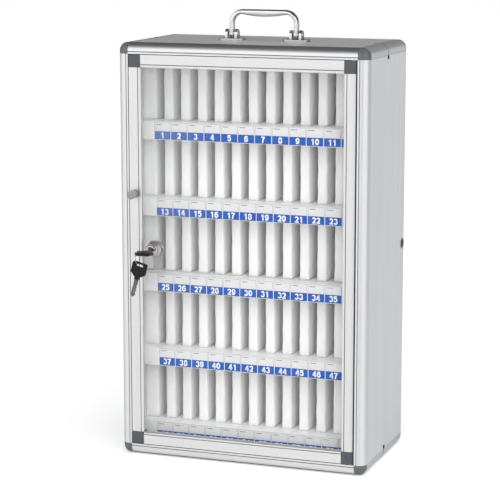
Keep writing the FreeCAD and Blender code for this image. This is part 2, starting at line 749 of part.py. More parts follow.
def door_corner(side_x, side_z):
    """Moulded corner block with spigots; the hinge side is rounded and bored for its bush."""
    full = ("0", "stile_width")
    stub = ("stile_width", "stile_width + spigot_length")
    slim = ("door_wall + spigot_play", CHANNEL_FLOOR + " - door_wall - spigot_play")
    beside_pivot = (HOLLOW_START + " + spigot_play", slim[1])
    deep = ("door_wall + spigot_play", "door_thick - door_wall - spigot_play")
    block = fused(from_door_corner(side_x, side_z, full, ("0", "door_thick"), full),
                  from_door_corner(side_x, side_z, beside_pivot, deep, stub),
                  from_door_corner(side_x, side_z, stub, deep, slim))
    notch_x = "%s - stile_width" % DOOR_HALF if side_x > 0 else "stile_width - %s" % DOOR_HALF
    notch_z = door_end(side_z, "stile_width", "0")[0 if side_z > 0 else 1]
    notch = rod("notch_radius", DOOR_FRONT + " - overrun", PANE_FRONT, (notch_x, notch_z), "y")
    channel = (CHANNEL_FLOOR, "stile_width + overrun")
    behind = (REAR_LIP, "stile_width + overrun")
    block = cut(block, notch,
                from_door_corner(side_x, side_z, channel, (CHANNEL_FRONT, CHANNEL_REAR), channel),
                from_door_corner(side_x, side_z, behind, (CHANNEL_REAR, "door_thick + overrun"), behind))
    if side_x < 0:
        return block
    edge = ("-overrun", "pivot_inset")
    corner = from_door_corner(1, side_z, edge, edge, ("-overrun", "stile_width + overrun"))
    round_edge = rod("pivot_inset", *door_end(side_z, "stile_width + 2 * overrun", "2 * overrun"), HINGE)
    bush_hole = rod("bush_radius", *door_end(side_z, "bush_length + lock_gap", "overrun"), HINGE)
    return cut(block, cut(corner, round_edge), bush_hole)


node("door_corner_blocks", group([door_corner(x, z) for x in SIGNS for z in SIGNS]))

PANE_INSET = "(stile_width - pane_bite)"
pane_x = (PANE_INSET + " - " + DOOR_HALF, DOOR_HALF + " - " + PANE_INSET)
pane_z = (DOOR_LOW + " + " + PANE_INSET, DOOR_HIGH + " - " + PANE_INSET)
lock_hole = rod("barrel_radius + 0.25", DOOR_FRONT, DOOR_REAR, ("lock_x", "lock_z"), "y")
node("door_window", cut(box(pane_x, (PANE_FRONT, PANE_REAR), pane_z), lock_hole))


def grown(span, by):
    return ("%s - (%s)" % (span[0], by), "%s + (%s)" % (span[1], by))


gasket_y = (PANE_FRONT + " - gasket_wall", PANE_REAR + " + gasket_wall")
gasket_outer = box(grown(pane_x, "gasket_wall"), gasket_y, grown(pane_z, "gasket_wall"))
lip = "-(pane_bite + gasket_lip)"
gasket_inner = box(grown(pane_x, lip), past(gasket_y), grown(pane_z, lip))
gasket_slot = box(pane_x, (PANE_FRONT, PANE_REAR), pane_z)
rear_lip = "-(pane_bite + gasket_lip - rear_inset)"
rear_lip_y = (PANE_REAR, PANE_REAR + " + gasket_wall + overrun")
gasket_rear = box(grown(pane_x, rear_lip), rear_lip_y, grown(pane_z, rear_lip))
node("window_gasket", cut(gasket_outer, gasket_inner, gasket_slot, gasket_rear))

knob = turned("Knob", [
    ("screw_radius", "0"), ("knob_neck_radius", "0"), ("knob_neck_radius", "knob_neck"),
    ("knob_radius", "knob_flare"), ("knob_radius", "knob_length - knob_edge", "knob_edge"),
    ("knob_radius - knob_edge", "knob_length"), ("0", "knob_length"), ("0", "knob_socket"),
    ("screw_radius", "knob_socket")])
node("door_knob", put(knob, ("knob_x", DOOR_FRONT, "knob_z"), FreeCAD.Rotation(X_AXIS, 180)))
knob_shank = rod("screw_radius", DOOR_FRONT + " - knob_socket", DOOR_REAR, KNOB, "y")
node("knob_screw", fused(knob_shank, rod("screw_head", DOOR_REAR, DOOR_REAR + " + nut_head", KNOB, "y")))


def hinge_pin(side_z):
    return rod("pin_radius", *door_end(side_z, "pin_in_door", "door_gap + pin_in_frame"), HINGE)


def hinge_bush(side_z):
    tube = rod("bush_radius", *door_end(side_z, "bush_length", "0"), HINGE)
    collar = rod("bush_flange_radius", *door_end(side_z, "0", "bush_flange"), HINGE)
    bore_span = door_end(side_z, "bush_length + overrun", "bush_flange + overrun")
    return cut(fused(tube, collar), rod("pin_radius + pin_play", *bore_span, HINGE))


node("hinge_pins", group([hinge_pin(side) for side in SIGNS]))
node("hinge_bushes", group([hinge_bush(side) for side in SIGNS]))

# ---------------------------------------------------------------- lock
LOCK = ("lock_x", "lock_z")
LOCK_FACE = "(%s - barrel_proud)" % PANE_FRONT
LOCK_BACK = "(%s + barrel_behind)" % PANE_FRONT
PLUG_FACE = "(%s + lock_gap)" % LOCK_FACE
CAM_FRONT = "(%s + lock_gap)" % LOCK_BACK
CAM_BACK = "(%s + lock_gap + cam_thick)" % LOCK_BACK

plug_bore = "plug_radius + plug_play"
barrel_end = "barrel_behind + barrel_proud"
lock_body = turned("LockBody", [
    (plug_bore, "0"), ("barrel_radius", "0"), ("barrel_radius", "barrel_behind"),
    ("rosette_radius", "barrel_behind"), ("rosette_radius", "barrel_behind + rosette_rim"),
    ("rosette_radius - rosette_bevel", "barrel_behind + rosette_thick"),
    ("barrel_radius", "barrel_behind + rosette_thick"), ("barrel_radius", barrel_end + " - barrel_bevel"),
    ("barrel_radius - barrel_bevel", barrel_end), (plug_bore, barrel_end)])
node("lock_body", put(lock_body, ("lock_x", LOCK_BACK, "lock_z"), FreeCAD.Rotation(X_AXIS, 180)))
nut = doc.addObject("Part::Prism", "NutBlank")
nut.Polygon = 6
nut.setExpression("Circumradius", bound("nut_radius"))
nut.setExpression("Height", bound("nut_thick"))
put(nut, ("lock_x", PANE_REAR, "lock_z"), FreeCAD.Rotation(X_AXIS, -90))
node("lock_nut", cut(nut, rod("barrel_radius", *past((PANE_REAR, PANE_REAR + " + nut_thick")), LOCK, "y")))


def around_lock(half_x, y, half_z):
    return box(("lock_x - " + half_x, "lock_x + " + half_x), y, ("lock_z - " + half_z, "lock_z + " + half_z))


CAM_SPAN = (CAM_FRONT, CAM_BACK)
plug = fused(rod("plug_radius", PLUG_FACE, CAM_FRONT, LOCK, "y"),
             around_lock("tail_size / 2", CAM_SPAN, "tail_size / 2"))
keyway = around_lock("keyway_width / 2", (PLUG_FACE + " - overrun", PLUG_FACE + " + keyway_depth"),
                     "keyway_height / 2")
tail_hole = rod("screw_radius", CAM_BACK + " - cam_screw_bite", CAM_BACK + " + overrun", LOCK, "y")
node("lock_plug", cut(plug, keyway, tail_hole))

# The cam hangs straight down when the lock is open, and points to the frame when it is locked.
cam_x = ("lock_x - cam_width / 2", "lock_x + cam_width / 2")
cam_arm = box(cam_x, CAM_SPAN, ("lock_z - cam_length", "lock_z"))
cam_hub = rod("cam_width / 2", *CAM_SPAN, LOCK, "y")
cam_hole = around_lock("tail_size / 2", past(CAM_SPAN), "tail_size / 2")
node("lock_cam", cut(fused(cam_arm, cam_hub), cam_hole))
cam_shank = rod("screw_radius", CAM_BACK + " - cam_screw_bite", CAM_BACK, LOCK, "y")
cam_head = rod("cam_screw_head", CAM_BACK, CAM_BACK + " + cam_screw_thick", LOCK, "y")
node("cam_screw", fused(cam_shank, cam_head))

# Keeper: an angle on the frame's inner wall that the cam turns in behind.
KEEPER_Z = ("lock_z - keeper_height / 2", "lock_z + keeper_height / 2")
KEEPER_WALL = "(face_width - cabinet_width / 2)"
KEEPER_FRONT = "(%s + keeper_gap)" % DOOR_REAR
keeper_foot = box((KEEPER_WALL, KEEPER_WALL + " + keeper_thick"),
                  (KEEPER_FRONT, "ring_depth - cabinet_depth / 2"), KEEPER_Z)
keeper_tab = box((KEEPER_WALL, KEEPER_WALL + " + keeper_reach"),
                 (KEEPER_FRONT, KEEPER_FRONT + " + keeper_thick"), KEEPER_Z)
node("lock_keeper", fused(keeper_foot, keeper_tab))


# ---------------------------------------------------------------- keys
def key_bow():
    """Moulded bow: short neck, shoulders, and a slot beside its far edge for the ring."""
    half, top = "bow_width / 2", "bow_length"
    outline = [
        ("-bow_neck_half", "0"), ("bow_neck_half", "0"), ("bow_neck_half", "bow_neck"),
        (half, "bow_shoulder"), (half, top + " - bow_corner", "bow_corner"), (half + " - bow_corner", top),
        ("bow_corner - " + half, top, "bow_corner"), ("-" + half, top + " - bow_corner"),
        ("-" + half, "bow_shoulder"), ("-bow_neck_half", "bow_neck")]
    upper = "bow_length - bow_bar"
    lower = upper + " - bow_slot"
    slot = [("-bow_slot_half", lower), ("bow_slot_half", lower), ("bow_slot_half", upper),
            ("-bow_slot_half", upper)]
    return extrusion("KeyBow", [outline, slot], "bow_thick")


def key_blade():
    """Flat blade with a slanted tip and three cuts on one edge."""
    half, tip = "blade_width / 2", "blade_tip - blade_length"
    edge = [("-" + half, "0"), ("-" + half, tip), ("-blade_tip_half", "-blade_length"),
            ("blade_tip_half", "-blade_length"), (half, tip)]
    for index in (2, 1, 0):
        middle = "-(cut_first + %d * cut_pitch)" % index
        floor = half + " - cut_depth"
        edge += [(half, middle + " - cut_half"), (floor, middle + " - cut_floor_half"),
                 (floor, middle + " + cut_floor_half"), (half, middle + " + cut_half")]
    return extrusion("KeyBlade", [edge + [(half, "0")]], "blade_thick")


KEY_SHOULDER = "(%s - neck_proud)" % LOCK_FACE
into_lock = facing(X_AXIS, -Y_AXIS)
node("key_bow", put(key_bow(), ("lock_x", KEY_SHOULDER, "lock_z + bow_thick / 2"), into_lock))
node("key_blade", put(key_blade(), ("lock_x", KEY_SHOULDER, "lock_z + blade_thick / 2"), into_lock))

link = doc.addObject("Part::Torus", "Link")
link.setExpression("Radius1", bound("link_radius"))
link.setExpression("Radius2", bound("link_wire"))
node("key_ring", put(link, ("link_x", "link_y", "link_z"), FreeCAD.Rotation(Y_AXIS, 90)))

# The spare key hangs by its slot from the lowest point of the ring, and leans to one side.
HOOK_ALONG = "(bow_length - bow_bar - link_wire - spare_play)"
SPARE_X = "link_x + spare_hook * cos(spare_tilt) - %s * sin(spare_tilt)" % HOOK_ALONG
SPARE_Z = "link_z - link_radius - spare_hook * sin(spare_tilt) - %s * cos(spare_tilt)" % HOOK_ALONG
leaning = FreeCAD.Rotation(Y_AXIS, sheet.spare_tilt) * FreeCAD.Rotation(X_AXIS, 90)
node("spare_key_bow", put(key_bow(), (SPARE_X, "link_y + bow_thick / 2", SPARE_Z), leaning))
node("spare_key_blade", put(key_blade(), (SPARE_X, "link_y + blade_thick / 2", SPARE_Z), leaning))

# ---------------------------------------------------------------- handle
PIVOT_Z = "(cabinet_height + pivot_rise)"
PIVOT = ("0", PIVOT_Z)
EAR_REACH = "(ear_gap + ear_thick)"


def bail_outline():
    """The bail seen from the front, with its origin midway between the pivots: X across, Y up."""
    outside, inside = "(handle_half + handle_leg)", "(handle_half - handle_leg)"
    under = "(handle_rise - grip_end)"
    top_end, under_end = outside + " - handle_outer", inside + " - handle_inner"
    half_span = "(%s)" % under_end
    belly = "((%s ^ 2 + grip_belly ^ 2) / (2 * grip_belly))" % half_span
    return [("-" + outside, "0"), ("-" + inside, "0"),
            ("-" + inside, under + " - handle_inner", "-handle_inner"), ("-" + half_span, under, belly),
            (half_span, under, "-handle_inner"), (inside, under + " - handle_inner"),
            (inside, "0"), (outside, "0"), (outside, "handle_rise - handle_outer", "handle_outer"),
            (top_end, "handle_rise"), ("-(%s)" % top_end, "handle_rise", "handle_outer"),
            ("-" + outside, "handle_rise - handle_outer")]


def bail():
    """Carrying bail with a grip that is deepest in the middle and an eye at the end of each leg."""
    body = extrusion("Bail", [bail_outline()], "2 * handle_deep")
    put(body, ("0", "handle_deep", PIVOT_Z), facing(X_AXIS, Z_AXIS))
    doc.recompute()
    blank = body.Tip
    above_pivot = [number for number, edge in enumerate(blank.Shape.Edges, start=1)
                   if max(vertex.Y for vertex in edge.Vertexes) > sheet.handle_edge]
    soft = body.newObject("PartDesign::Fillet", "SoftEdges")
    soft.Base = (blank, ["Edge%d" % number for number in above_pivot])
    soft.setExpression("Radius", bound("handle_edge"))
    eyes = [rod("handle_deep", middle + " - handle_leg", middle + " + handle_leg", PIVOT, "x")
            for middle in ("-handle_half", "handle_half")]
    bore = rod("handle_pin + pin_play", "-handle_half - " + EAR_REACH, "handle_half + " + EAR_REACH,
               PIVOT, "x")
    return cut(fused(body, *eyes), bore)


node("handle_bail", bail())


def handle_foot(middle):
    """Bracket plate with rounded corners."""
    long, wide = "foot_length / 2", "foot_width / 2"
    near, far = long + " - foot_round", wide + " - foot_round"
    outline = [("-(%s)" % near, "-" + wide), (near, "-" + wide, "foot_round"), (long, "-(%s)" % far),
               (long, far, "foot_round"), (near, wide), ("-(%s)" % near, wide, "foot_round"),
               ("-" + long, far), ("-" + long, "-(%s)" % far, "foot_round")]
    return put(extrusion("HandleFoot", [outline], "foot_thick"), (middle, "0", "cabinet_height"))


def handle_bracket(sign):
    """Foot plate with two ears."""
    middle = "%d * handle_half" % sign
    pieces = [handle_foot(middle)]
    for side in SIGNS:
        span = (middle + " + ear_gap", middle + " + " + EAR_REACH)
        if side < 0:
            span = (middle + " - " + EAR_REACH, middle + " - ear_gap")
        pieces.append(box(span, ("-ear_radius", "ear_radius"), ("cabinet_height + foot_thick / 2", PIVOT_Z)))
        pieces.append(rod("ear_radius", *span, PIVOT, "x"))
    bore = rod("handle_pin", *past((middle + " - " + EAR_REACH, middle + " + " + EAR_REACH)), PIVOT, "x")
    through = past(("cabinet_height", "cabinet_height + foot_thick"))
    holes = [rod("screw_radius", *through, (middle + " + %d * screw_offset" % side, "0")) for side in SIGNS]
    return cut(fused(*pieces), bore, *holes)


def handle_pin(sign):
    """Pin with a head outside each ear."""
    middle = "%d * handle_half" % sign
    inner, outer = middle + " - " + EAR_REACH, middle + " + " + EAR_REACH
    return fused(rod("handle_pin", inner, outer, PIVOT, "x"),
                 rod("handle_pin + pin_head", inner + " - pin_head", inner, PIVOT, "x"),
                 rod("handle_pin + pin_head", outer, outer + " + pin_head", PIVOT, "x"))


def handle_screw(x):
    seat = "cabinet_height + foot_thick"
    return fused(rod("screw_head", seat, seat + " + screw_head_thick", (x, "0")),
                 rod("screw_radius", SCREW_END, seat, (x, "0")))


node("handle_brackets", group([handle_bracket(sign) for sign in SIGNS]))
node("handle_pins", group([handle_pin(sign) for sign in SIGNS]))
node("handle_screws", group([handle_screw(x) for x in SCREW_PLACES]))

# ---------------------------------------------------------------- check and export
doc.recompute()
for item in doc.Objects:
    if "Invalid" in item.State or "Error" in item.State:
        raise RuntimeError("%s (%s) is %s" % (item.Label, item.Name, item.State))
for item in nodes:
    if item.Shape.isNull() or not item.Shape.isValid():
        raise RuntimeError("%s has no valid shape" % item.Label)
for item in nodes:
    item.Shape.exportStep(os.path.join(STEP_FOLDER, item.Label + ".step"))
    size = item.Shape.BoundBox
    print("%-22s %2d solids  x %.1f..%.1f  y %.1f..%.1f  z %.1f..%.1f" % (
        item.Label, len(item.Shape.Solids), size.XMin, size.XMax, size.YMin, size.YMax, size.ZMin, size.ZMax))
print(len(nodes), "sub-parts")
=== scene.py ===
"""Looks of the lockable phone cabinet, built round its CAD frame. Metres, +Z up, the door faces -Y."""

import json
import math

import bmesh
import bpy
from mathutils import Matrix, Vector, noise

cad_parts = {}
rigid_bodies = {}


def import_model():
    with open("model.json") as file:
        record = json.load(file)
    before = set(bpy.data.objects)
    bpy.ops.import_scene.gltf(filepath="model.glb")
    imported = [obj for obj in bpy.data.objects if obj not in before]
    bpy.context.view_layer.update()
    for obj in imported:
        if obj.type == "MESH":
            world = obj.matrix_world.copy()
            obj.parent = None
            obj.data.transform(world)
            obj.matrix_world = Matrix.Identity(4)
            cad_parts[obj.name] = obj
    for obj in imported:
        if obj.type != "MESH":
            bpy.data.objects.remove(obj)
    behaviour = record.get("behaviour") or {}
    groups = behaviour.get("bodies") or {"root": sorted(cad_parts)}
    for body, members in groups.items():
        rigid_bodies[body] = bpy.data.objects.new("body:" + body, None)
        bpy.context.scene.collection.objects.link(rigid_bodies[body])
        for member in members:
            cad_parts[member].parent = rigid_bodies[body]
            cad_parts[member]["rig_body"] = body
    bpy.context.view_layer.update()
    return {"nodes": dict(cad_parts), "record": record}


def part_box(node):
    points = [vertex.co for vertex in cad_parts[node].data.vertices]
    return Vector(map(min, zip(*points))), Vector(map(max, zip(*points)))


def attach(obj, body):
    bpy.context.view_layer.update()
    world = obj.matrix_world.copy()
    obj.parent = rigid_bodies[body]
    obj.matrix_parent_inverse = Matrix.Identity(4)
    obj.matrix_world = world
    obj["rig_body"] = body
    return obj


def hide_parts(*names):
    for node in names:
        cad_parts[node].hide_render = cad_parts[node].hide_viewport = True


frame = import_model()
NODES = frame["nodes"]
MM = 0.001


# ---------------------------------------------------------------- node helpers
def new_material(name, colour, roughness, metallic=0.0, **sockets):
    """A Principled material; its colour is a linear RGB triple and sockets are set by name."""
    made = bpy.data.materials.new(name)
    made.use_nodes = True
    shader = made.node_tree.nodes["Principled BSDF"]
    shader.inputs["Base Color"].default_value = (*colour, 1.0)
    shader.inputs["Roughness"].default_value = roughness
    shader.inputs["Metallic"].default_value = metallic
    for socket, value in sockets.items():
        shader.inputs[socket.replace("_", " ")].default_value = value
    return made, shader


def link(made, source, target):
    made.node_tree.links.new(source, target)


def place_coordinates(made, stretch):
    """Object coordinates in metres, multiplied by stretch."""
    nodes = made.node_tree.nodes
    coordinates = nodes.new("ShaderNodeTexCoord")
    mapping = nodes.new("ShaderNodeMapping")
    mapping.inputs["Scale"].default_value = stretch
    link(made, coordinates.outputs["Object"], mapping.inputs["Vector"])
    return mapping.outputs["Vector"]


def noise_pattern(made, stretch, detail=3.0, roughness=0.5):
    """Noise whose size along X, Y and Z follows stretch."""
    texture = made.node_tree.nodes.new("ShaderNodeTexNoise")
    texture.inputs["Scale"].default_value = 1.0
    texture.inputs["Detail"].default_value = detail
    texture.inputs["Roughness"].default_value = roughness
    link(made, place_coordinates(made, stretch), texture.inputs["Vector"])
    return texture.outputs["Fac"]


def object_axis(made, axis):
    """Places along one axis ("X", "Y" or "Z") of the object, in metres."""
    parts = made.node_tree.nodes.new("ShaderNodeSeparateXYZ")
    link(made, place_coordinates(made, (1.0, 1.0, 1.0)), parts.inputs[0])
    return parts.outputs[axis]


def map_range(tree, value, from_low, from_high, low, high, interpolation="LINEAR"):
    """The value's span from_low..from_high mapped to low..high, and held there outside it."""
    mapped = tree.nodes.new("ShaderNodeMapRange")
    mapped.interpolation_type = interpolation
    mapped.inputs["From Min"].default_value = from_low
    mapped.inputs["From Max"].default_value = from_high
    mapped.inputs["To Min"].default_value = low
    mapped.inputs["To Max"].default_value = high
    tree.links.new(value, mapped.inputs["Value"])
    return mapped.outputs["Result"]


def spread(made, value, low, high, from_low=0.3, from_high=0.7):
    """The pattern value mapped to low..high; noise lies mostly within 0.3..0.7."""
    return map_range(made.node_tree, value, from_low, from_high, low, high)


def calculate(tree, operation, *terms):
    """A Math node; each term is a number or another node's output."""
    math_node = tree.nodes.new("ShaderNodeMath")
    math_node.operation = operation
    for index, term in enumerate(terms):
        if isinstance(term, float):
            math_node.inputs[index].default_value = term
        else:
            tree.links.new(term, math_node.inputs[index])
    return math_node.outputs[0]


def tint(made, value, first, second):
    """A colour between two linear RGB triples, by the pattern value."""
    mix = made.node_tree.nodes.new("ShaderNodeMix")
    mix.data_type = "RGBA"
    mix.inputs["A"].default_value = (*first, 1.0)
    mix.inputs["B"].default_value = (*second, 1.0)
    link(made, value, mix.inputs["Factor"])
    return mix.outputs["Result"]


def relief(made, shader, value, height):
    """Bump of this height in metres."""
    bump = made.node_tree.nodes.new("ShaderNodeBump")
    bump.inputs["Distance"].default_value = height
    bump.inputs["Strength"].default_value = 1.0
    link(made, value, bump.inputs["Height"])
    link(made, bump.outputs["Normal"], shader.inputs["Normal"])


def shades(colour, amount):
    """The colour made darker and lighter by a share."""
    return [tuple(channel * (1 + sign * amount) for channel in colour) for sign in (-1, 1)]


# Painted shade: metal colour darkened in narrow joints and grooves by an occlusion lookup.
JOINT_REACH = 3.0 * MM
JOINT_SHADE_COLOUR = (0.015, 0.015, 0.016)
JOINT_FALLOFF = 2.0


def painted_joint_shade(made, face):
    """The colour with painted shade: darker down in narrow joints and grooves, by an occlusion lookup."""
    shadow = made.node_tree.nodes.new("ShaderNodeAmbientOcclusion")
    shadow.samples = 8
    shadow.inputs["Distance"].default_value = JOINT_REACH
    mix = made.node_tree.nodes.new("ShaderNodeMix")
    mix.data_type = "RGBA"
    mix.inputs["A"].default_value = (*JOINT_SHADE_COLOUR, 1.0)
    link(made, face, mix.inputs["B"])
    openness = calculate(made.node_tree, "POWER", shadow.outputs["AO"], JOINT_FALLOFF)
    link(made, openness, mix.inputs["Factor"])
    return mix.outputs["Result"]


# ---------------------------------------------------------------- materials
BRUSH_DEPTH = 0.003 * MM


def brushed_metal(name, colour, roughness, along, line=2600.0, variation=0.05, metallic=1.0, rim=1.0):
    """Metal with fine brushed lines along one axis ("x", "y" or "z"); rim is its edge tint."""
    made, shader = new_material(name, colour, roughness, metallic, Specular_Tint=(rim, rim, rim, 1.0))
    fine = tuple(6.0 if axis == along else line for axis in "xyz")
    broad = tuple(1.5 if axis == along else 160.0 for axis in "xyz")
    lines = noise_pattern(made, fine, detail=2.0)
    bands = noise_pattern(made, broad, detail=2.0)
    both = calculate(made.node_tree, "ADD", lines, bands)
    pattern = calculate(made.node_tree, "MULTIPLY", both, 0.5)
    face = tint(made, spread(made, pattern, 0.0, 1.0), *shades(colour, variation))
    # painted shade in joints and grooves
    link(made, painted_joint_shade(made, face), shader.inputs["Base Color"])
    link(made, spread(made, pattern, roughness * 0.85, roughness * 1.2), shader.inputs["Roughness"])
    relief(made, shader, lines, BRUSH_DEPTH)
    return made


MOULD_DEPTH = 0.01 * MM


def moulded_plastic(name, colour, roughness, grain=900.0, **sockets):
    """Plastic with a fine moulded grain and faint cloudiness."""
    made, shader = new_material(name, colour, roughness, **sockets)
    clouds = noise_pattern(made, (60.0,) * 3)
    face = tint(made, spread(made, clouds, 0.0, 1.0), *shades(colour, 0.08))
    link(made, face, shader.inputs["Base Color"])
    link(made, spread(made, clouds, roughness * 0.8, roughness * 1.25), shader.inputs["Roughness"])
    relief(made, shader, noise_pattern(made, (grain,) * 3, detail=4.0), MOULD_DEPTH)
    return made


SCRATCH_DEPTH = 0.0015 * MM


def polished_metal(name, colour, roughness, rim=1.0):
    """Plated metal with smudges and hairline scratches; rim is its edge tint."""
    made, shader = new_material(name, colour, roughness, 1.0, Specular_Tint=(rim, rim, rim, 1.0))
    smudges = noise_pattern(made, (90.0,) * 3, detail=4.0)
    link(made, spread(made, smudges, roughness * 0.7, roughness * 1.8), shader.inputs["Roughness"])
    face = tint(made, spread(made, smudges, 0.0, 1.0), *shades(colour, 0.03))
    link(made, face, shader.inputs["Base Color"])
    relief(made, shader, noise_pattern(made, (200.0, 3500.0, 900.0), detail=2.0), SCRATCH_DEPTH)
    return made


def white_surface(name, colour, roughness, stretch, height, variation=0.03, **sockets):
    """A white sheet, board, paper or foam, whose grain follows stretch."""
    made, shader = new_material(name, colour, roughness, **sockets)
    blotches = noise_pattern(made, (25.0,) * 3, detail=3.0)
    face = tint(made, spread(made, blotches, 0.0, 1.0), *shades(colour, variation))
    link(made, face, shader.inputs["Base Color"])
    relief(made, shader, noise_pattern(made, stretch, detail=4.0, roughness=0.6), height)
    return made


VINYL = (0.50, 0.50, 0.50)
# Painted shade: the gasket's colour along the lock side, for the shadow between stile and pane.
SHADED_VINYL = (0.03, 0.03, 0.032)
SHADE_ENDS_AT = -153.0 * MM


def gasket_material():
    """Grey vinyl with painted shade: near black along the lock side, for the shadow between the stile and
    the pane.
    """
    made = moulded_plastic("glazing_vinyl", VINYL, 0.45, grain=1500.0)
    shader = made.node_tree.nodes["Principled BSDF"]
    # painted shade on the lock side of the gasket
    unshaded = spread(made, object_axis(made, "X"), 0.0, 1.0, SHADE_ENDS_AT - 0.5 * MM, SHADE_ENDS_AT + 0.5 * MM)
    link(made, tint(made, unshaded, SHADED_VINYL, VINYL), shader.inputs["Base Color"])
    return made


PANE_VEIL = 0.015
PANE_GLOSS_POWER = 5.0
# Painted reflection: the strongest whitish veil on the pane, at the lock side.
REFLECTION_VEIL = 0.07


def window_material():
    """Clear acrylic: gloss that grows at glancing angles, faint smears, and a painted reflection, a
    whitish veil towards the lock side and upwards.
    """
    made, shader = new_material("clear_acrylic", (0.90, 0.91, 0.92), 0.05, IOR=1.49)
    shader.inputs["Specular IOR Level"].default_value = 1.0
    smears = noise_pattern(made, (14.0, 14.0, 5.0), detail=3.0)
    link(made, spread(made, smears, 0.04, 0.12), shader.inputs["Roughness"])
    tree = made.node_tree
    turning = tree.nodes.new("ShaderNodeLayerWeight")
    turning.inputs["Blend"].default_value = 0.5
    glancing = calculate(tree, "POWER", turning.outputs["Facing"], PANE_GLOSS_POWER)
    gloss = spread(made, glancing, PANE_VEIL, 1.0, 0.0, 1.0)
    # painted reflection: a whitish veil, thicker towards the lock side and upwards
    sideways = spread(made, object_axis(made, "X"), REFLECTION_VEIL, 0.0, -0.155, -0.03)
    upwards = spread(made, object_axis(made, "Z"), 0.25, 1.0, 0.2, 0.5)
    painted_reflection = calculate(tree, "MULTIPLY", sideways, upwards)
    link(made, calculate(tree, "ADD", gloss, painted_reflection), shader.inputs["Alpha"])
    return made


PROFILE = {axis: brushed_metal("anodised_profile_" + axis, (0.85, 0.855, 0.865), 0.36, axis)
           for axis in "xz"}
LOW_PROFILE = brushed_metal("anodised_profile_low", (0.85, 0.855, 0.865), 0.36, "x", rim=0.2)
DOOR_PROFILE = {axis: brushed_metal("door_profile_" + axis, (0.84, 0.83, 0.825), 0.36, axis)
                for axis in "xz"}
SIDE_SHEET = brushed_metal("brushed_side_sheet", (0.91, 0.915, 0.93), 0.38, "z", line=1500.0,
                           variation=0.07)
TOP_SHEET = brushed_metal("satin_top_sheet", (0.66, 0.65, 0.63), 0.50, "x", variation=0.04,
                          metallic=0.55)
EDGE_METAL = brushed_metal("satin_edge_profile", (0.62, 0.625, 0.63), 0.40, "y", variation=0.04,
                           metallic=0.7)
CORNER = moulded_plastic("corner_plastic", (0.095, 0.108, 0.105), 0.30, Coat_Weight=0.3,
                         Coat_Roughness=0.15)
DOOR_CORNER = moulded_plastic("door_corner_plastic", (0.06, 0.072, 0.071), 0.34, Coat_Weight=0.2,
                              Coat_Roughness=0.2)
DARK = moulded_plastic("dark_plastic", (0.010, 0.010, 0.011), 0.9, Specular_IOR_Level=0.0)
BOARD = white_surface("white_board", (0.80, 0.80, 0.80), 0.5, (700.0,) * 3, 0.01 * MM)
SHELF = white_surface("white_shelf", (0.84, 0.84, 0.84), 0.4, (1200.0,) * 3, 0.01 * MM)
FOAM = white_surface("white_foam", (0.90, 0.90, 0.895), 0.95, (1400.0,) * 3, 0.06 * MM, 0.02,
                     Sheen_Weight=0.15, Subsurface_Weight=0.85,
                     Subsurface_Radius=(1.0, 1.0, 1.0), Subsurface_Scale=12.0 * MM)
BLUE = moulded_plastic("number_blue", (0.011, 0.098, 0.42), 0.42, Specular_IOR_Level=0.12)
CARD = white_surface("card_white", (0.72, 0.72, 0.725), 0.75, (2500.0,) * 3, 0.008 * MM, 0.02)
INK_WHITE = white_surface("ink_white", (0.92, 0.92, 0.92), 0.45, (1500.0,) * 3, 0.004 * MM, 0.02)
INK_GREY = moulded_plastic("ink_grey", (0.15, 0.15, 0.16), 0.7)
RUBBER = moulded_plastic("rubber", (0.13, 0.132, 0.135), 0.5, grain=1500.0)
KNOB = moulded_plastic("knob_plastic", (0.27, 0.28, 0.29), 0.33)
CHROME = polished_metal("chrome", (0.86, 0.86, 0.87), 0.05, rim=0.05)
LOCK_CHROME = polished_metal("lock_chrome", (0.70, 0.65, 0.63), 0.10, rim=0.25)
KEY_STEEL = brushed_metal("key_steel", (0.17, 0.165, 0.155), 0.24, "z", line=700.0, variation=0.55)
STEEL = polished_metal("zinc_steel", (0.55, 0.55, 0.56), 0.28)
CAM_STEEL = polished_metal("cam_steel", (0.60, 0.60, 0.61), 0.50)
KEY_PLASTIC = moulded_plastic("key_plastic", (0.009, 0.009, 0.010), 0.42, grain=700.0,
                              Specular_IOR_Level=0.25)
WINDOW = window_material()
SOFT_VINYL = gasket_material()

SLOT_LOOKS = {
    "corner_plastic": CORNER, "dark_plastic": DARK, "white_board": BOARD, "shelf_white": SHELF,
    "divider_foam": FOAM, "number_blue": BLUE, "card_white": CARD, "window_clear": WINDOW,
    "gasket_rubber": RUBBER, "knob_plastic": KNOB, "chrome_parts": CHROME, "steel_parts": STEEL,
    "key_nickel": KEY_STEEL, "key_plastic": KEY_PLASTIC, "panel_aluminium": SIDE_SHEET,
}
NODE_LOOKS = {
    "window_gasket": SOFT_VINYL, "door_corner_blocks": DOOR_CORNER, "lock_cam": CAM_STEEL,
    "lock_body": LOCK_CHROME, "lock_plug": LOCK_CHROME,
    "frame_front_bottom": LOW_PROFILE, "frame_rear_bottom": LOW_PROFILE,
}
NODE_SLOTS = {part["node"]: part["material_slot"] for part in frame["record"]["subparts"]}


def look_of(node):
    """The material of a CAD node: its own, or by its slot and the way its lines run."""
    if node in NODE_LOOKS:
        return NODE_LOOKS[node]
    slot = NODE_SLOTS[node]
    if slot == "frame_aluminium":
        profile = DOOR_PROFILE if node.startswith("door") else PROFILE
        return profile["z" if node.endswith(("left", "right")) else "x"]
    if slot == "top_aluminium":
        return EDGE_METAL if node.startswith("edge") else TOP_SHEET
    return SLOT_LOOKS[slot]


for node_name, node_object in NODES.items():
    node_object.data.materials.clear()
    node_object.data.materials.append(look_of(node_name))


# ---------------------------------------------------------------- mesh helpers
def middle_of(node):
    low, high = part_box(node)
    return (low + high) / 2


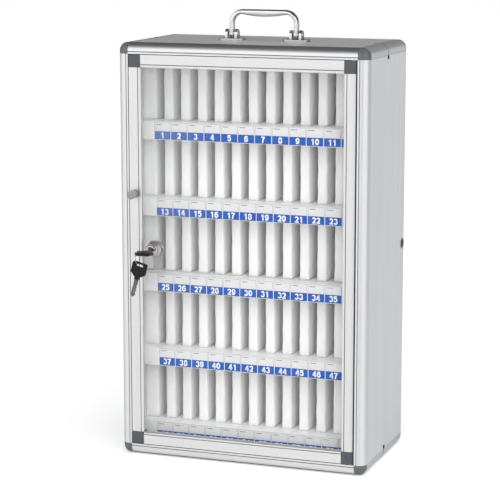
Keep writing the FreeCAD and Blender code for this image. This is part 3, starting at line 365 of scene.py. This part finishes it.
def add_piece(name, mesh, material, body, smooth_below=35.0):
    """A mesh as a piece that rides on a body, smooth except at its sharp edges."""
    mesh.materials.clear()
    mesh.materials.append(material)
    mesh.shade_smooth()
    mesh.set_sharp_from_angle(angle=math.radians(smooth_below))
    piece = bpy.data.objects.new(name, mesh)
    bpy.context.scene.collection.objects.link(piece)
    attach(piece, body)
    return piece


def mesh_from(bm, name):
    bmesh.ops.recalc_face_normals(bm, faces=bm.faces)
    mesh = bpy.data.meshes.new(name)
    bm.to_mesh(mesh)
    bm.free()
    return mesh


def add_rings(bm, rings, closed=False):
    """Faces between successive rings of points; open stacks get end caps."""
    loops = [[bm.verts.new(point) for point in ring] for ring in rings]
    pairs = list(zip(loops, loops[1:]))
    if closed:
        pairs.append((loops[-1], loops[0]))
    for here, there in pairs:
        for index in range(len(here)):
            after = (index + 1) % len(here)
            bm.faces.new((here[index], here[after], there[after], there[index]))
    if not closed:
        bm.faces.new(loops[0])
        bm.faces.new(loops[-1])


def merge_into(bm, part):
    """Adds a bmesh to another and frees it."""
    mesh = bpy.data.meshes.new("part")
    part.to_mesh(mesh)
    part.free()
    bm.from_mesh(mesh)
    bpy.data.meshes.remove(mesh)


def directions_about(along, steps):
    """Unit vectors all round an axis."""
    side = along.orthogonal().normalized()
    up = along.cross(side)
    angles = [2 * math.pi * step / steps for step in range(steps)]
    return [side * math.cos(angle) + up * math.sin(angle) for angle in angles]


def turned(profile, centre, along, steps=64):
    """A closed outline of (radius, distance) points turned about an axis through centre."""
    bm = bmesh.new()
    rings = [[centre + radial * radius + along * distance for radius, distance in profile]
             for radial in directions_about(along, steps)]
    add_rings(bm, rings, closed=True)
    bmesh.ops.remove_doubles(bm, verts=bm.verts, dist=1e-7)
    return bm


def turned_solid(profile, centre, along, steps=40):
    """A solid turned about an axis: a (radius, distance) outline that starts and ends on the axis."""
    bm = bmesh.new()
    radials = directions_about(along, steps)
    rings = [[bm.verts.new(centre + radial * radius + along * distance) for radial in radials]
             for radius, distance in profile[1:-1]]
    for here, there in zip(rings, rings[1:]):
        for i in range(steps):
            j = (i + 1) % steps
            bm.faces.new((here[i], here[j], there[j], there[i]))
    for ring, (_, distance) in ((rings[0], profile[0]), (rings[-1], profile[-1])):
        tip = bm.verts.new(centre + along * distance)
        for i in range(steps):
            bm.faces.new((ring[i], ring[(i + 1) % steps], tip))
    return bm


def block(bm, low, high):
    """An axis-aligned block."""
    corners = [bm.verts.new((x, y, z)) for x in (low[0], high[0]) for y in (low[1], high[1])
               for z in (low[2], high[2])]
    for face in ((0, 1, 3, 2), (4, 6, 7, 5), (0, 4, 5, 1), (2, 3, 7, 6), (0, 2, 6, 4), (1, 5, 7, 3)):
        bm.faces.new([corners[i] for i in face])


SHARP_EDGE = math.radians(32)


def softened(node, width):
    """A copy of a CAD node with rounded edges, which stands for it."""
    bm = bmesh.new()
    bm.from_mesh(NODES[node].data)
    bmesh.ops.remove_doubles(bm, verts=bm.verts, dist=1e-6)
    bmesh.ops.dissolve_limit(bm, angle_limit=math.radians(0.5), verts=bm.verts, edges=bm.edges)
    sharp = [edge for edge in bm.edges if edge.is_manifold and edge.calc_face_angle(0.0) > SHARP_EDGE]
    bmesh.ops.bevel(bm, geom=sharp, offset=width, segments=3, profile=0.5, affect="EDGES",
                    clamp_overlap=True)
    mesh = mesh_from(bm, node + "_soft")
    body = NODES[node]["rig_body"]
    piece = add_piece(node + "_soft", mesh, look_of(node), body, smooth_below=50.0)
    weighted = piece.modifiers.new("Weighted", "WEIGHTED_NORMAL")
    weighted.keep_sharp = True
    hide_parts(node)


# ---------------------------------------------------------------- foam blocks
ROWS = 5
OUTLET_ROW = 3
FOAM_ROUND = 2.4 * MM
FOAM_WAVE = 0.7 * MM
FOAM_LEVELS = 26
FOAM_STEPS = 8


def islands(node):
    """The boxes of a node's separate solids, left to right and top to bottom."""
    bm = bmesh.new()
    bm.from_mesh(NODES[node].data)
    bmesh.ops.remove_doubles(bm, verts=bm.verts, dist=1e-6)
    found, seen = [], set()
    for start in bm.verts:
        if start in seen:
            continue
        group, queue = [], [start]
        seen.add(start)
        while queue:
            vert = queue.pop()
            group.append(vert.co.copy())
            for edge in vert.link_edges:
                other = edge.other_vert(vert)
                if other not in seen:
                    seen.add(other)
                    queue.append(other)
        low = Vector(min(point[axis] for point in group) for axis in range(3))
        high = Vector(max(point[axis] for point in group) for axis in range(3))
        found.append((low, high))
    bm.free()
    return sorted(found, key=lambda pair: (-round(pair[1].z, 3), pair[0].x))


def foam_outline(low, high):
    """Half of a block seen from above: across the front, round the soft corner, and back along a side."""
    half, depth = (high.x - low.x) / 2, high.y - low.y
    outline = [(half * share, 0.0) for share in (0.0, 0.3, 0.6)]
    for step in range(7):
        angle = math.pi / 2 * step / 6
        outline.append((half - FOAM_ROUND * (1 - math.sin(angle)), FOAM_ROUND * (1 - math.cos(angle))))
    outline += [(half, FOAM_ROUND + (depth - FOAM_ROUND) * (step / FOAM_STEPS) ** 1.5)
                for step in range(1, FOAM_STEPS + 1)]
    return outline


def foam_block(low, high, seed, walls):
    """Soft upright block: round front corners and slightly wavy faces; walls are the sides kept flat."""
    right = foam_outline(low, high)
    middle, depth = (low.x + high.x) / 2, high.y - low.y
    both = [(1, across, back) for across, back in right]
    both += [(-1, across, back) for across, back in right[:0:-1]]
    rings = []
    for level in range(FOAM_LEVELS + 1):
        share = level / FOAM_LEVELS
        z = low.z + (high.z - low.z) * share
        held = 1 - abs(2 * share - 1) ** 8
        ring = []
        for side, across, back in both:
            free = held * (1 - (back / depth) ** 2)
            edge = across / right[-1][0]
            ripple = noise.noise(Vector((seed * 1.9 + side * 11, back * 40, z * 60)))
            dent = 0.5 + noise.noise(Vector((seed * 5.1, side * edge * 1.5, z * 45)))
            inward = 0.0 if side in walls else free * edge ** 3 * FOAM_WAVE * (0.5 + ripple)
            sunk = free * (1 - min(1.0, back / depth * 4)) * FOAM_WAVE * dent
            ring.append(Vector((middle + side * (across - max(0.0, inward)),
                                low.y + back + max(0.0, sunk), z)))
        rings.append(ring)
    return rings


def bored_block(bm, node, low, high):
    """The block that the cable outlet runs through, with its front corners rounded."""
    bored = bmesh.new()
    bored.from_mesh(NODES[node].data)
    bmesh.ops.remove_doubles(bored, verts=bored.verts, dist=1e-6)
    others = [vert for vert in bored.verts if not low.x - MM < vert.co.x < high.x + MM]
    bmesh.ops.delete(bored, geom=others, context="VERTS")
    bmesh.ops.dissolve_limit(bored, angle_limit=math.radians(0.5), verts=bored.verts, edges=bored.edges)
    corners = [edge for edge in bored.edges
               if all(abs(vert.co.y - low.y) < 1e-5 for vert in edge.verts)
               and abs(edge.verts[0].co.z - edge.verts[1].co.z) > 0.9 * (high.z - low.z)]
    bmesh.ops.bevel(bored, geom=corners, offset=FOAM_ROUND, segments=6, profile=0.5, affect="EDGES")
    merge_into(bm, bored)


def foam_row(row):
    node = "dividers_row_%d" % row
    bm = bmesh.new()
    blocks = islands(node)
    for place, (low, high) in enumerate(blocks):
        if row == OUTLET_ROW and place == len(blocks) - 1:
            bored_block(bm, node, low, high)
            continue
        walls = (-1,) if place == 0 else (1,) if place == len(blocks) - 1 else ()
        add_rings(bm, foam_block(low, high, row * 20 + place, walls))
    piece = add_piece("foam_row_%d" % row, mesh_from(bm, node), FOAM, "cabinet", 80.0)
    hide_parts(node)


for row in range(1, ROWS + 1):
    foam_row(row)


# ---------------------------------------------------------------- printed numbers and cards
DIGIT_HEIGHT = 8.7 * MM
DIGIT_ADVANCE = 0.74
DIGIT_STROKE = 0.215
INK = 0.08 * MM


def bow(centre, reach, start, end, steps=14):
    """Points of an oval arc between two angles in degrees."""
    angles = [math.radians(start + (end - start) * step / steps) for step in range(steps + 1)]
    return [(centre[0] + reach[0] * math.cos(angle), centre[1] + reach[1] * math.sin(angle))
            for angle in angles]


def digit_strokes(digit):
    """Centre lines of a bold sans-serif numeral one unit tall, each with whether it closes on itself."""
    half, top = 0.235, 0.4
    six = [(bow((0, -0.15), (half, 0.25), 0, 345, 22), True),
           (bow((0.03, 0.02), (0.26, 0.38), 38, 195), False)]
    strokes = {
        "0": [(bow((0, 0), (half, top), 0, 345, 23), True)],
        "1": [([(0.07, -0.5), (0.07, 0.5)], False),
              ([(-0.2, 0.22), (-0.06, 0.28), (0.05, 0.44)], False)],
        "2": [(bow((0, 0.17), (0.22, 0.23), 168, -22) + [(0.1, -0.1), (-0.16, -0.38)], False),
              ([(-0.3, -top), (0.3, -top)], False)],
        "3": [(bow((0, 0.2), (0.2, 0.2), 165, -90), False),
              (bow((0, -0.18), (half, 0.22), 90, -165), False)],
        "4": [([(0.12, 0.5), (0.12, -0.5)], False), ([(0.07, 0.45), (-0.26, -0.2)], False),
              ([(-0.34, -0.19), (0.33, -0.19)], False)],
        "5": [([(0.27, top), (-0.17, top), (-0.2, 0.0)], False),
              (bow((0, -0.13), (half, 0.27), 132, -160), False)],
        "6": six,
        "7": [([(-0.31, top), (0.31, top)], False), ([(0.22, 0.36), (0.0, 0.0), (-0.1, -0.5)], False)],
        "8": [(bow((0, 0.2), (0.2, 0.2), 0, 340, 17), True),
              (bow((0, -0.19), (half, 0.21), 0, 340, 17), True)],
        "9": [([(-x, -y) for x, y in line], shut) for line, shut in six],
    }
    return strokes[digit]


def ink_line(bm, points, shut, width, front, back):
    """A raised line of ink along points (x, z), mitred at its bends."""
    count = len(points)
    rings = []
    for index, (x, z) in enumerate(points):
        before = points[index - 1] if index or shut else points[0]
        after = points[(index + 1) % count] if index < count - 1 or shut else points[-1]
        first = Vector((x - before[0], z - before[1])).normalized()
        second = Vector((after[0] - x, after[1] - z)).normalized()
        run = (first + second).normalized()
        reach = width / 2 / max(0.5, run.dot(second if second.length else first))
        across = Vector((-run.y, run.x)) * reach
        rings.append([Vector((x + side * across.x, y, z + side * across.y))
                      for side, y in ((-1, front), (1, front), (1, back), (-1, back))])
    add_rings(bm, rings, closed=shut)


def print_numbers():
    bm = bmesh.new()
    for index, (low, high) in enumerate(islands("number_plates")):
        text = str(index + 1)
        centre_x, centre_z = (low.x + high.x) / 2, (low.z + high.z) / 2
        for place, digit in enumerate(text):
            x = centre_x + (place - (len(text) - 1) / 2) * DIGIT_ADVANCE * DIGIT_HEIGHT
            for line, shut in digit_strokes(digit):
                points = [(x + DIGIT_HEIGHT * px, centre_z + DIGIT_HEIGHT * pz) for px, pz in line]
                ink_line(bm, points, shut, DIGIT_STROKE * DIGIT_HEIGHT, low.y - INK, low.y + INK)
    add_piece("plate_numbers", mesh_from(bm, "plate_numbers"), INK_WHITE, "cabinet")


RULE_LENGTH = 8.6 * MM
RULE_INSET = 2.6 * MM
RULE_DROP = 2.8 * MM
RULE_THICK = 0.85 * MM
BORDER = 0.3 * MM


def print_cards():
    """A short ruled line for a name, and a hairline frame round each card."""
    bm = bmesh.new()
    for low, high in islands("name_cards"):
        front, back = low.y - INK, low.y + INK
        top = high.z - RULE_DROP
        start = low.x + RULE_INSET
        block(bm, (start, front, top - RULE_THICK), (start + RULE_LENGTH, back, top))
        for x in (low.x, high.x - BORDER):
            block(bm, (x, front, low.z), (x + BORDER, back, high.z))
        block(bm, (low.x, front, high.z - BORDER), (high.x, back, high.z))
    add_piece("card_print", mesh_from(bm, "card_print"), INK_GREY, "cabinet")


print_numbers()
print_cards()


# ---------------------------------------------------------------- carrying handle
SECTION_STEPS = 28
SECTION_POWER = 2.6
LEG_HALF = 3.6 * MM
GRIP_HALF = 3.3 * MM
GRIP_CROWN = 0.1 * MM
GRIP_BELLY = 3.5 * MM
BEND_ROUND = 16.0 * MM
BEND_STEPS = 12
LEG_SHARES = (0.0, 0.25, 0.5, 0.75)
GRIP_STEPS = 24
EYE_EDGE = 1.2 * MM
EYE_STEPS = 32


def bail_path(half, rise):
    """Centre line of the bail from pivot to pivot as points (x, height above the pivots)."""
    points = [(-half, (rise - BEND_ROUND) * share) for share in LEG_SHARES]
    for step in range(BEND_STEPS + 1):
        angle = math.pi - math.pi / 2 * step / BEND_STEPS
        points.append((-half + BEND_ROUND + BEND_ROUND * math.cos(angle),
                       rise - BEND_ROUND + BEND_ROUND * math.sin(angle)))
    rising = list(points)
    grip = half - BEND_ROUND
    points += [(-grip + 2 * grip * step / GRIP_STEPS, rise) for step in range(1, GRIP_STEPS)]
    return points + [(-x, z) for x, z in reversed(rising)]


def bail_piece():
    """Die-cast bail: oval section, slim at the bends and fullest in the middle of the grip."""
    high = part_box("handle_bail")[1]
    pin = middle_of("handle_pins")
    deep = high.y * 0.97
    half, rise = high.x - LEG_HALF, high.z - pin.z - GRIP_HALF - GRIP_CROWN
    path = bail_path(half, rise)
    rings = []
    for index, (x, z) in enumerate(path):
        before, after = path[max(index - 1, 0)], path[min(index + 1, len(path) - 1)]
        run = Vector((after[0] - before[0], 0, after[1] - before[1])).normalized()
        out = Vector((-run.z, 0, run.x))
        in_grip = max(0.0, 1 - (x / (half - BEND_ROUND * 0.8)) ** 2) if z > rise - 1e-6 else 0.0
        belly = in_grip ** 1.2
        outer, inner = GRIP_HALF + GRIP_CROWN * belly, GRIP_HALF + GRIP_BELLY * belly
        width = deep * (1.0 - 0.04 * belly)
        ring = []
        for step in range(SECTION_STEPS):
            angle = 2 * math.pi * step / SECTION_STEPS
            c, s = math.cos(angle), math.sin(angle)
            swell = (abs(c) ** SECTION_POWER + abs(s) ** SECTION_POWER) ** (-1 / SECTION_POWER)
            reach = (outer if s > 0 else inner) * s * swell
            ring.append(Vector((x, c * swell * width, pin.z + z)) + out * reach)
        rings.append(ring)
    bm = bmesh.new()
    add_rings(bm, rings)
    for side in (-1, 1):
        add_eye(bm, side * half, pin.z, LEG_HALF * 0.92, deep)
    mesh = mesh_from(bm, "carrying_bail")
    piece = add_piece("carrying_bail", mesh, CHROME, "bail", 60.0)
    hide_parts("handle_bail")


def add_eye(bm, x, z, half, radius):
    """Rounded boss about the pivot at the end of a leg."""
    rim = radius - EYE_EDGE
    rise = [(-half, rim * 0.2), (-half, rim), (-half * 0.8, radius * 0.97), (-half * 0.4, radius)]
    angles = [2 * math.pi * step / EYE_STEPS for step in range(EYE_STEPS)]
    rings = []
    for across, reach in rise + [(-across, reach) for across, reach in reversed(rise)]:
        rings.append([Vector((x + across, reach * math.cos(angle), z + reach * math.sin(angle)))
                      for angle in angles])
    add_rings(bm, rings)


bail_piece()
softened("handle_brackets", 0.5 * MM)


def domed_screw(bm, x, y, seat, radius, height):
    """Pan head with a cross recess."""
    steps, arm, reach = 48, 0.16, 0.62
    rings = []
    for share in (1.0, 1.0, 0.93, 0.78, 0.55, 0.3, 0.08):
        lift = 0.0 if not rings else height * (1 - share ** 2 * 0.55)
        ring = []
        for step in range(steps):
            angle = 2 * math.pi * step / steps
            px, py = share * math.cos(angle), share * math.sin(angle)
            in_cross = min(abs(px), abs(py)) < arm and max(abs(px), abs(py)) < reach
            drop = height * 0.5 if in_cross and share < 0.7 else 0.0
            ring.append(Vector((x + px * radius, y + py * radius, seat + lift - drop)))
        rings.append(ring)
    add_rings(bm, rings)


BRACKET_PLATE = 2.5 * MM


def handle_screw_heads():
    bm = bmesh.new()
    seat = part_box("handle_brackets")[0].z + BRACKET_PLATE
    for low, high in islands("handle_screws"):
        radius = (high.x - low.x) / 2
        domed_screw(bm, (low.x + high.x) / 2, (low.y + high.y) / 2, seat, radius, high.z - seat)
    mesh = mesh_from(bm, "handle_screw_heads")
    piece = add_piece("handle_screw_heads", mesh, CHROME, "cabinet")
    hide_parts("handle_screws")


handle_screw_heads()


def pin_heads():
    """Domed rivet heads on the handle pins."""
    bm = bmesh.new()
    for low, high in islands("handle_pins"):
        centre, radius = (low + high) / 2, (high.z - low.z) / 2
        half = (high.x - low.x) / 2
        head = [(0.0, -half), (radius * 0.55, -half + 0.12 * MM), (radius * 0.9, -half + 0.45 * MM),
                (radius, -half + 1.0 * MM), (radius * 0.66, -half + 1.0 * MM)]
        profile = head + [(reach, -distance) for reach, distance in reversed(head)]
        merge_into(bm, turned_solid(profile, centre, Vector((1, 0, 0))))
    mesh = mesh_from(bm, "handle_rivets")
    piece = add_piece("handle_rivets", mesh, CHROME, "cabinet", 40.0)
    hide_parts("handle_pins")


pin_heads()


# ---------------------------------------------------------------- lock, keys and knob
OUTWARDS = Vector((0, -1, 0))
BARREL_RADIUS = 10.2 * MM


def lock_trim():
    """Barrel and stepped rosette of the lock."""
    low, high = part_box("lock_body")
    centre = Vector(((low.x + high.x) / 2, high.y, (low.z + high.z) / 2))
    plug_low, plug_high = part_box("lock_plug")
    plug = (plug_high.x - plug_low.x) / 2 + 0.05 * MM
    rim = (high.x - low.x) / 2
    seat = high.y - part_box("door_window")[0].y
    total = high.y - low.y
    barrel = BARREL_RADIUS
    profile = [
        (plug, 0.0), (barrel, 0.0), (barrel, seat), (rim, seat), (rim, seat + 0.8 * MM),
        (rim - 0.25 * MM, seat + 1.3 * MM), (rim - 0.6 * MM, seat + 1.5 * MM),
        (rim - 0.8 * MM, seat + 1.9 * MM), (rim - 0.9 * MM, seat + 3.4 * MM),
        (rim - 1.2 * MM, seat + 4.2 * MM), (barrel + 0.2 * MM, seat + 4.5 * MM),
        (barrel, seat + 4.8 * MM), (barrel, total - 1.1 * MM), (barrel - 0.3 * MM, total - 0.4 * MM),
        (barrel - 0.9 * MM, total), (barrel - 1.5 * MM, total), (barrel - 1.8 * MM, total - 0.5 * MM),
        (barrel - 2.5 * MM, total - 0.6 * MM), (barrel - 2.9 * MM, total - 0.2 * MM),
        (plug + 0.35 * MM, total), (plug, total)]
    mesh = mesh_from(turned(profile, centre, OUTWARDS), "lock_barrel")
    piece = add_piece("lock_barrel", mesh, LOCK_CHROME, "door", 32.0)
    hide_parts("lock_body")


RING_TURNS = 1.9
RING_STEPS = 150
RING_START = math.pi * 0.3
WIRE_STEPS = 10


def split_ring():
    """Flattened spring wire wound nearly twice round."""
    low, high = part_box("key_ring")
    centre = (low + high) / 2
    wire = (high.x - low.x) / 2
    radius = (high.z - low.z) / 2 - wire
    thick, wide = wire * 0.85, Vector((wire * 0.44, 0, 0))
    section = [2 * math.pi * step / WIRE_STEPS for step in range(WIRE_STEPS)]
    rings = []
    for step in range(RING_STEPS + 1):
        share = step / RING_STEPS
        angle = 2 * math.pi * RING_TURNS * share + RING_START
        radial = Vector((0, math.cos(angle), math.sin(angle)))
        middle = centre + radial * radius + Vector((wire * (0.92 * share - 0.46), 0, 0))
        rings.append([middle + radial * thick * math.cos(turn) + wide * math.sin(turn)
                      for turn in section])
    bm = bmesh.new()
    add_rings(bm, rings)
    piece = add_piece("split_ring", mesh_from(bm, "split_ring"), STEEL, "ring", 60.0)
    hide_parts("key_ring")


KNOB_ROUND = 1.6 * MM


def knob_piece():
    """Turned knob with a narrow neck and a softly dished face."""
    low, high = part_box("door_knob")
    centre = Vector(((low.x + high.x) / 2, high.y, (low.z + high.z) / 2))
    radius, length = (high.x - low.x) / 2, high.y - low.y
    profile = [(0.0, 0.0), (4.6 * MM, 0.0), (4.6 * MM, 0.4 * MM), (4.3 * MM, 0.8 * MM),
               (4.3 * MM, 2.6 * MM), (4.7 * MM, 4.2 * MM), (5.5 * MM, 6.4 * MM),
               (radius * 0.97, 8.6 * MM), (radius, 10.0 * MM)]
    for step in range(7):
        angle = math.pi / 2 * step / 6
        profile.append((radius - KNOB_ROUND * (1 - math.cos(angle)),
                        length - KNOB_ROUND * (1 - math.sin(angle))))
    profile += [(radius * 0.5, length - 0.15 * MM), (0.0, length - 0.25 * MM)]
    mesh = mesh_from(turned_solid(profile, centre, OUTWARDS, 56), "pull_knob")
    piece = add_piece("pull_knob", mesh, KNOB, "door", 40.0)
    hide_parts("door_knob")


lock_trim()
split_ring()
knob_piece()
for name, width in (("key_bow", 0.6), ("spare_key_bow", 0.6), ("lock_plug", 0.25), ("cable_grommet", 0.3),
                    ("key_blade", 0.2), ("spare_key_blade", 0.2)):
    softened(name, width * MM)


# ---------------------------------------------------------------- seam beads
BEAD = 0.7 * MM
BEAD_STEPS = 18
CORNER_ROUND = 12.0 * MM


def seam_beads():
    """Raised lip on the rear half of each depth edge, beside the seam."""
    low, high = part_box("edge_profiles_rear")
    section = [2 * math.pi * step / 12 for step in range(12)]
    bm = bmesh.new()
    for x_side in (-1, 1):
        for z_side in (-1, 1):
            centre = Vector(((high.x if x_side > 0 else low.x) - x_side * CORNER_ROUND,
                             low.y + BEAD * 0.8,
                             (high.z if z_side > 0 else low.z) - z_side * CORNER_ROUND))
            rings = []
            for step in range(BEAD_STEPS + 1):
                angle = math.pi / 2 * step / BEAD_STEPS
                radial = Vector((x_side * math.cos(angle), 0, z_side * math.sin(angle)))
                ends = min(step, BEAD_STEPS - step) / 4
                size = BEAD * min(1.0, 0.35 + 0.65 * ends)
                rings.append([centre + radial * (CORNER_ROUND + size * 0.45 * math.sin(turn))
                              + Vector((0, size * math.cos(turn), 0)) for turn in section])
            add_rings(bm, rings)
    add_piece("seam_lips", mesh_from(bm, "seam_lips"), EDGE_METAL, "cabinet", 60.0)


seam_beads()


# ---------------------------------------------------------------- floor, light and camera
FLOOR_GLOW = 0.46
FLOOR_GAP = 0.3 * MM


def make_floor():
    """Plain white sweep; to the camera it glows a little, so that it stays white to the edges."""
    made, shader = new_material("studio_floor", (0.80, 0.80, 0.805), 0.30)
    shader.inputs["Specular IOR Level"].default_value = 0.35
    shader.inputs["Emission Color"].default_value = (1.0, 1.0, 1.0, 1.0)
    path = made.node_tree.nodes.new("ShaderNodeLightPath")
    link(made, spread(made, path.outputs["Is Camera Ray"], 0.0, FLOOR_GLOW, 0.0, 1.0),
         shader.inputs["Emission Strength"])
    bm = bmesh.new()
    bmesh.ops.create_grid(bm, x_segments=1, y_segments=1, size=30.0)
    mesh = bpy.data.meshes.new("floor")
    bm.to_mesh(mesh)
    bm.free()
    mesh.materials.append(made)
    floor = bpy.data.objects.new("floor", mesh)
    floor.location.z = -FLOOR_GAP
    bpy.context.scene.collection.objects.link(floor)


FRONT_SKY = 1.2
REAR_SKY = 0.75
DIM_SKY = 0.09


def make_sky():
    """Soft surroundings: two bright banks in front with a dark strip between, dim overhead and behind."""
    world = bpy.data.worlds.new("studio")
    bpy.context.scene.world = world
    world.use_nodes = True
    tree = world.node_tree
    background = tree.nodes["Background"]
    background.inputs["Color"].default_value = (0.985, 0.99, 1.0, 1.0)
    coordinates = tree.nodes.new("ShaderNodeTexCoord")
    parts = tree.nodes.new("ShaderNodeSeparateXYZ")
    tree.links.new(coordinates.outputs["Generated"], parts.inputs[0])
    height = parts.outputs["Z"]
    forwards = calculate(tree, "MULTIPLY", parts.outputs["Y"], -1.0)
    azimuth = calculate(tree, "ARCTAN2", parts.outputs["X"], forwards)

    def ramp(source, start, end, low, high):
        return map_range(tree, source, start, end, low, high, "SMOOTHSTEP")

    def bank(start, full, end, none):
        """One over a span of azimuths, degrees from the front towards +X, fading at both sides."""
        rise = ramp(azimuth, math.radians(start), math.radians(full), 0.0, 1.0)
        fall = ramp(azimuth, math.radians(end), math.radians(none), 1.0, 0.0)
        return calculate(tree, "MULTIPLY", rise, fall)

    banks = calculate(tree, "ADD", bank(-100.0, -75.0, -2.0, 8.0), bank(20.0, 28.0, 78.0, 105.0))
    low_banks = calculate(tree, "MULTIPLY", banks, ramp(height, 0.42, 0.85, 1.0, 0.0))
    front = calculate(tree, "MULTIPLY", low_banks, FRONT_SKY)
    rear = ramp(azimuth, math.radians(115.0), math.radians(150.0), 0.0, REAR_SKY)
    rear_glow = calculate(tree, "MULTIPLY", rear, ramp(height, 0.05, 0.22, 1.0, 0.0))
    total = calculate(tree, "ADD", calculate(tree, "ADD", front, rear_glow), DIM_SKY)
    path = tree.nodes.new("ShaderNodeLightPath")
    seen = tree.nodes.new("ShaderNodeMix")
    seen.data_type = "FLOAT"
    tree.links.new(path.outputs["Is Camera Ray"], seen.inputs["Factor"])
    tree.links.new(total, seen.inputs["A"])
    seen.inputs["B"].default_value = 1.0
    tree.links.new(seen.outputs["Result"], background.inputs["Strength"])


def add_lamp(data, place, towards):
    """A lamp that lights matt surfaces; metal shows the sky's banks and the floor instead."""
    lamp = bpy.data.objects.new(data.name, data)
    lamp.location = place
    lamp.rotation_mode = "QUATERNION"
    lamp.rotation_quaternion = towards.to_track_quat("-Z", "Y")
    lamp.visible_camera = False
    lamp.visible_glossy = False
    bpy.context.scene.collection.objects.link(lamp)


CABINET_MIDDLE = Vector((0.0, 0.0, 0.3))


def softbox(name, place, width, height, power):
    """A rectangular lamp that faces the middle of the cabinet."""
    data = bpy.data.lights.new(name, "AREA")
    data.shape = "RECTANGLE"
    data.size, data.size_y, data.energy = width, height, power
    add_lamp(data, place, CABINET_MIDDLE - Vector(place))


def daylight(power):
    """Broad light from above that whitens the floor evenly."""
    data = bpy.data.lights.new("daylight", "SUN")
    data.energy, data.angle = power, math.radians(70)
    add_lamp(data, (0.0, 0.0, 0.0), Vector((-0.35, 0.35, -1.0)))


LENS = 137.9
CAMERA_TARGET = Vector((-0.0217, 0.0, 0.2949))
CAMERA_AZIMUTH = math.radians(19.85)
CAMERA_ELEVATION = math.radians(10.21)
CAMERA_DISTANCE = 2.7944


def make_camera():
    """The photo's own angle, from a fit to the cabinet's corners."""
    data = bpy.data.cameras.new("camera")
    data.sensor_width = 36.0
    data.lens = LENS
    camera = bpy.data.objects.new("camera", data)
    back = Vector((math.sin(CAMERA_AZIMUTH) * math.cos(CAMERA_ELEVATION),
                   -math.cos(CAMERA_AZIMUTH) * math.cos(CAMERA_ELEVATION),
                   math.sin(CAMERA_ELEVATION)))
    camera.location = CAMERA_TARGET + back * CAMERA_DISTANCE
    camera.rotation_mode = "QUATERNION"
    camera.rotation_quaternion = (-back).to_track_quat("-Z", "Y")
    bpy.context.scene.collection.objects.link(camera)
    bpy.context.scene.camera = camera


SLOT_POWER = 17.5
FILL_POWER = 2.0
SUN_POWER = 2.4

make_floor()
make_sky()
softbox("slot_light", (1.22, -2.75, 0.75), 1.2, 1.6, SLOT_POWER)
softbox("front_fill", (0.1, -3.2, 0.5), 0.9, 1.2, FILL_POWER)
daylight(SUN_POWER)
make_camera()
bpy.context.scene.view_settings.view_transform = "Standard"
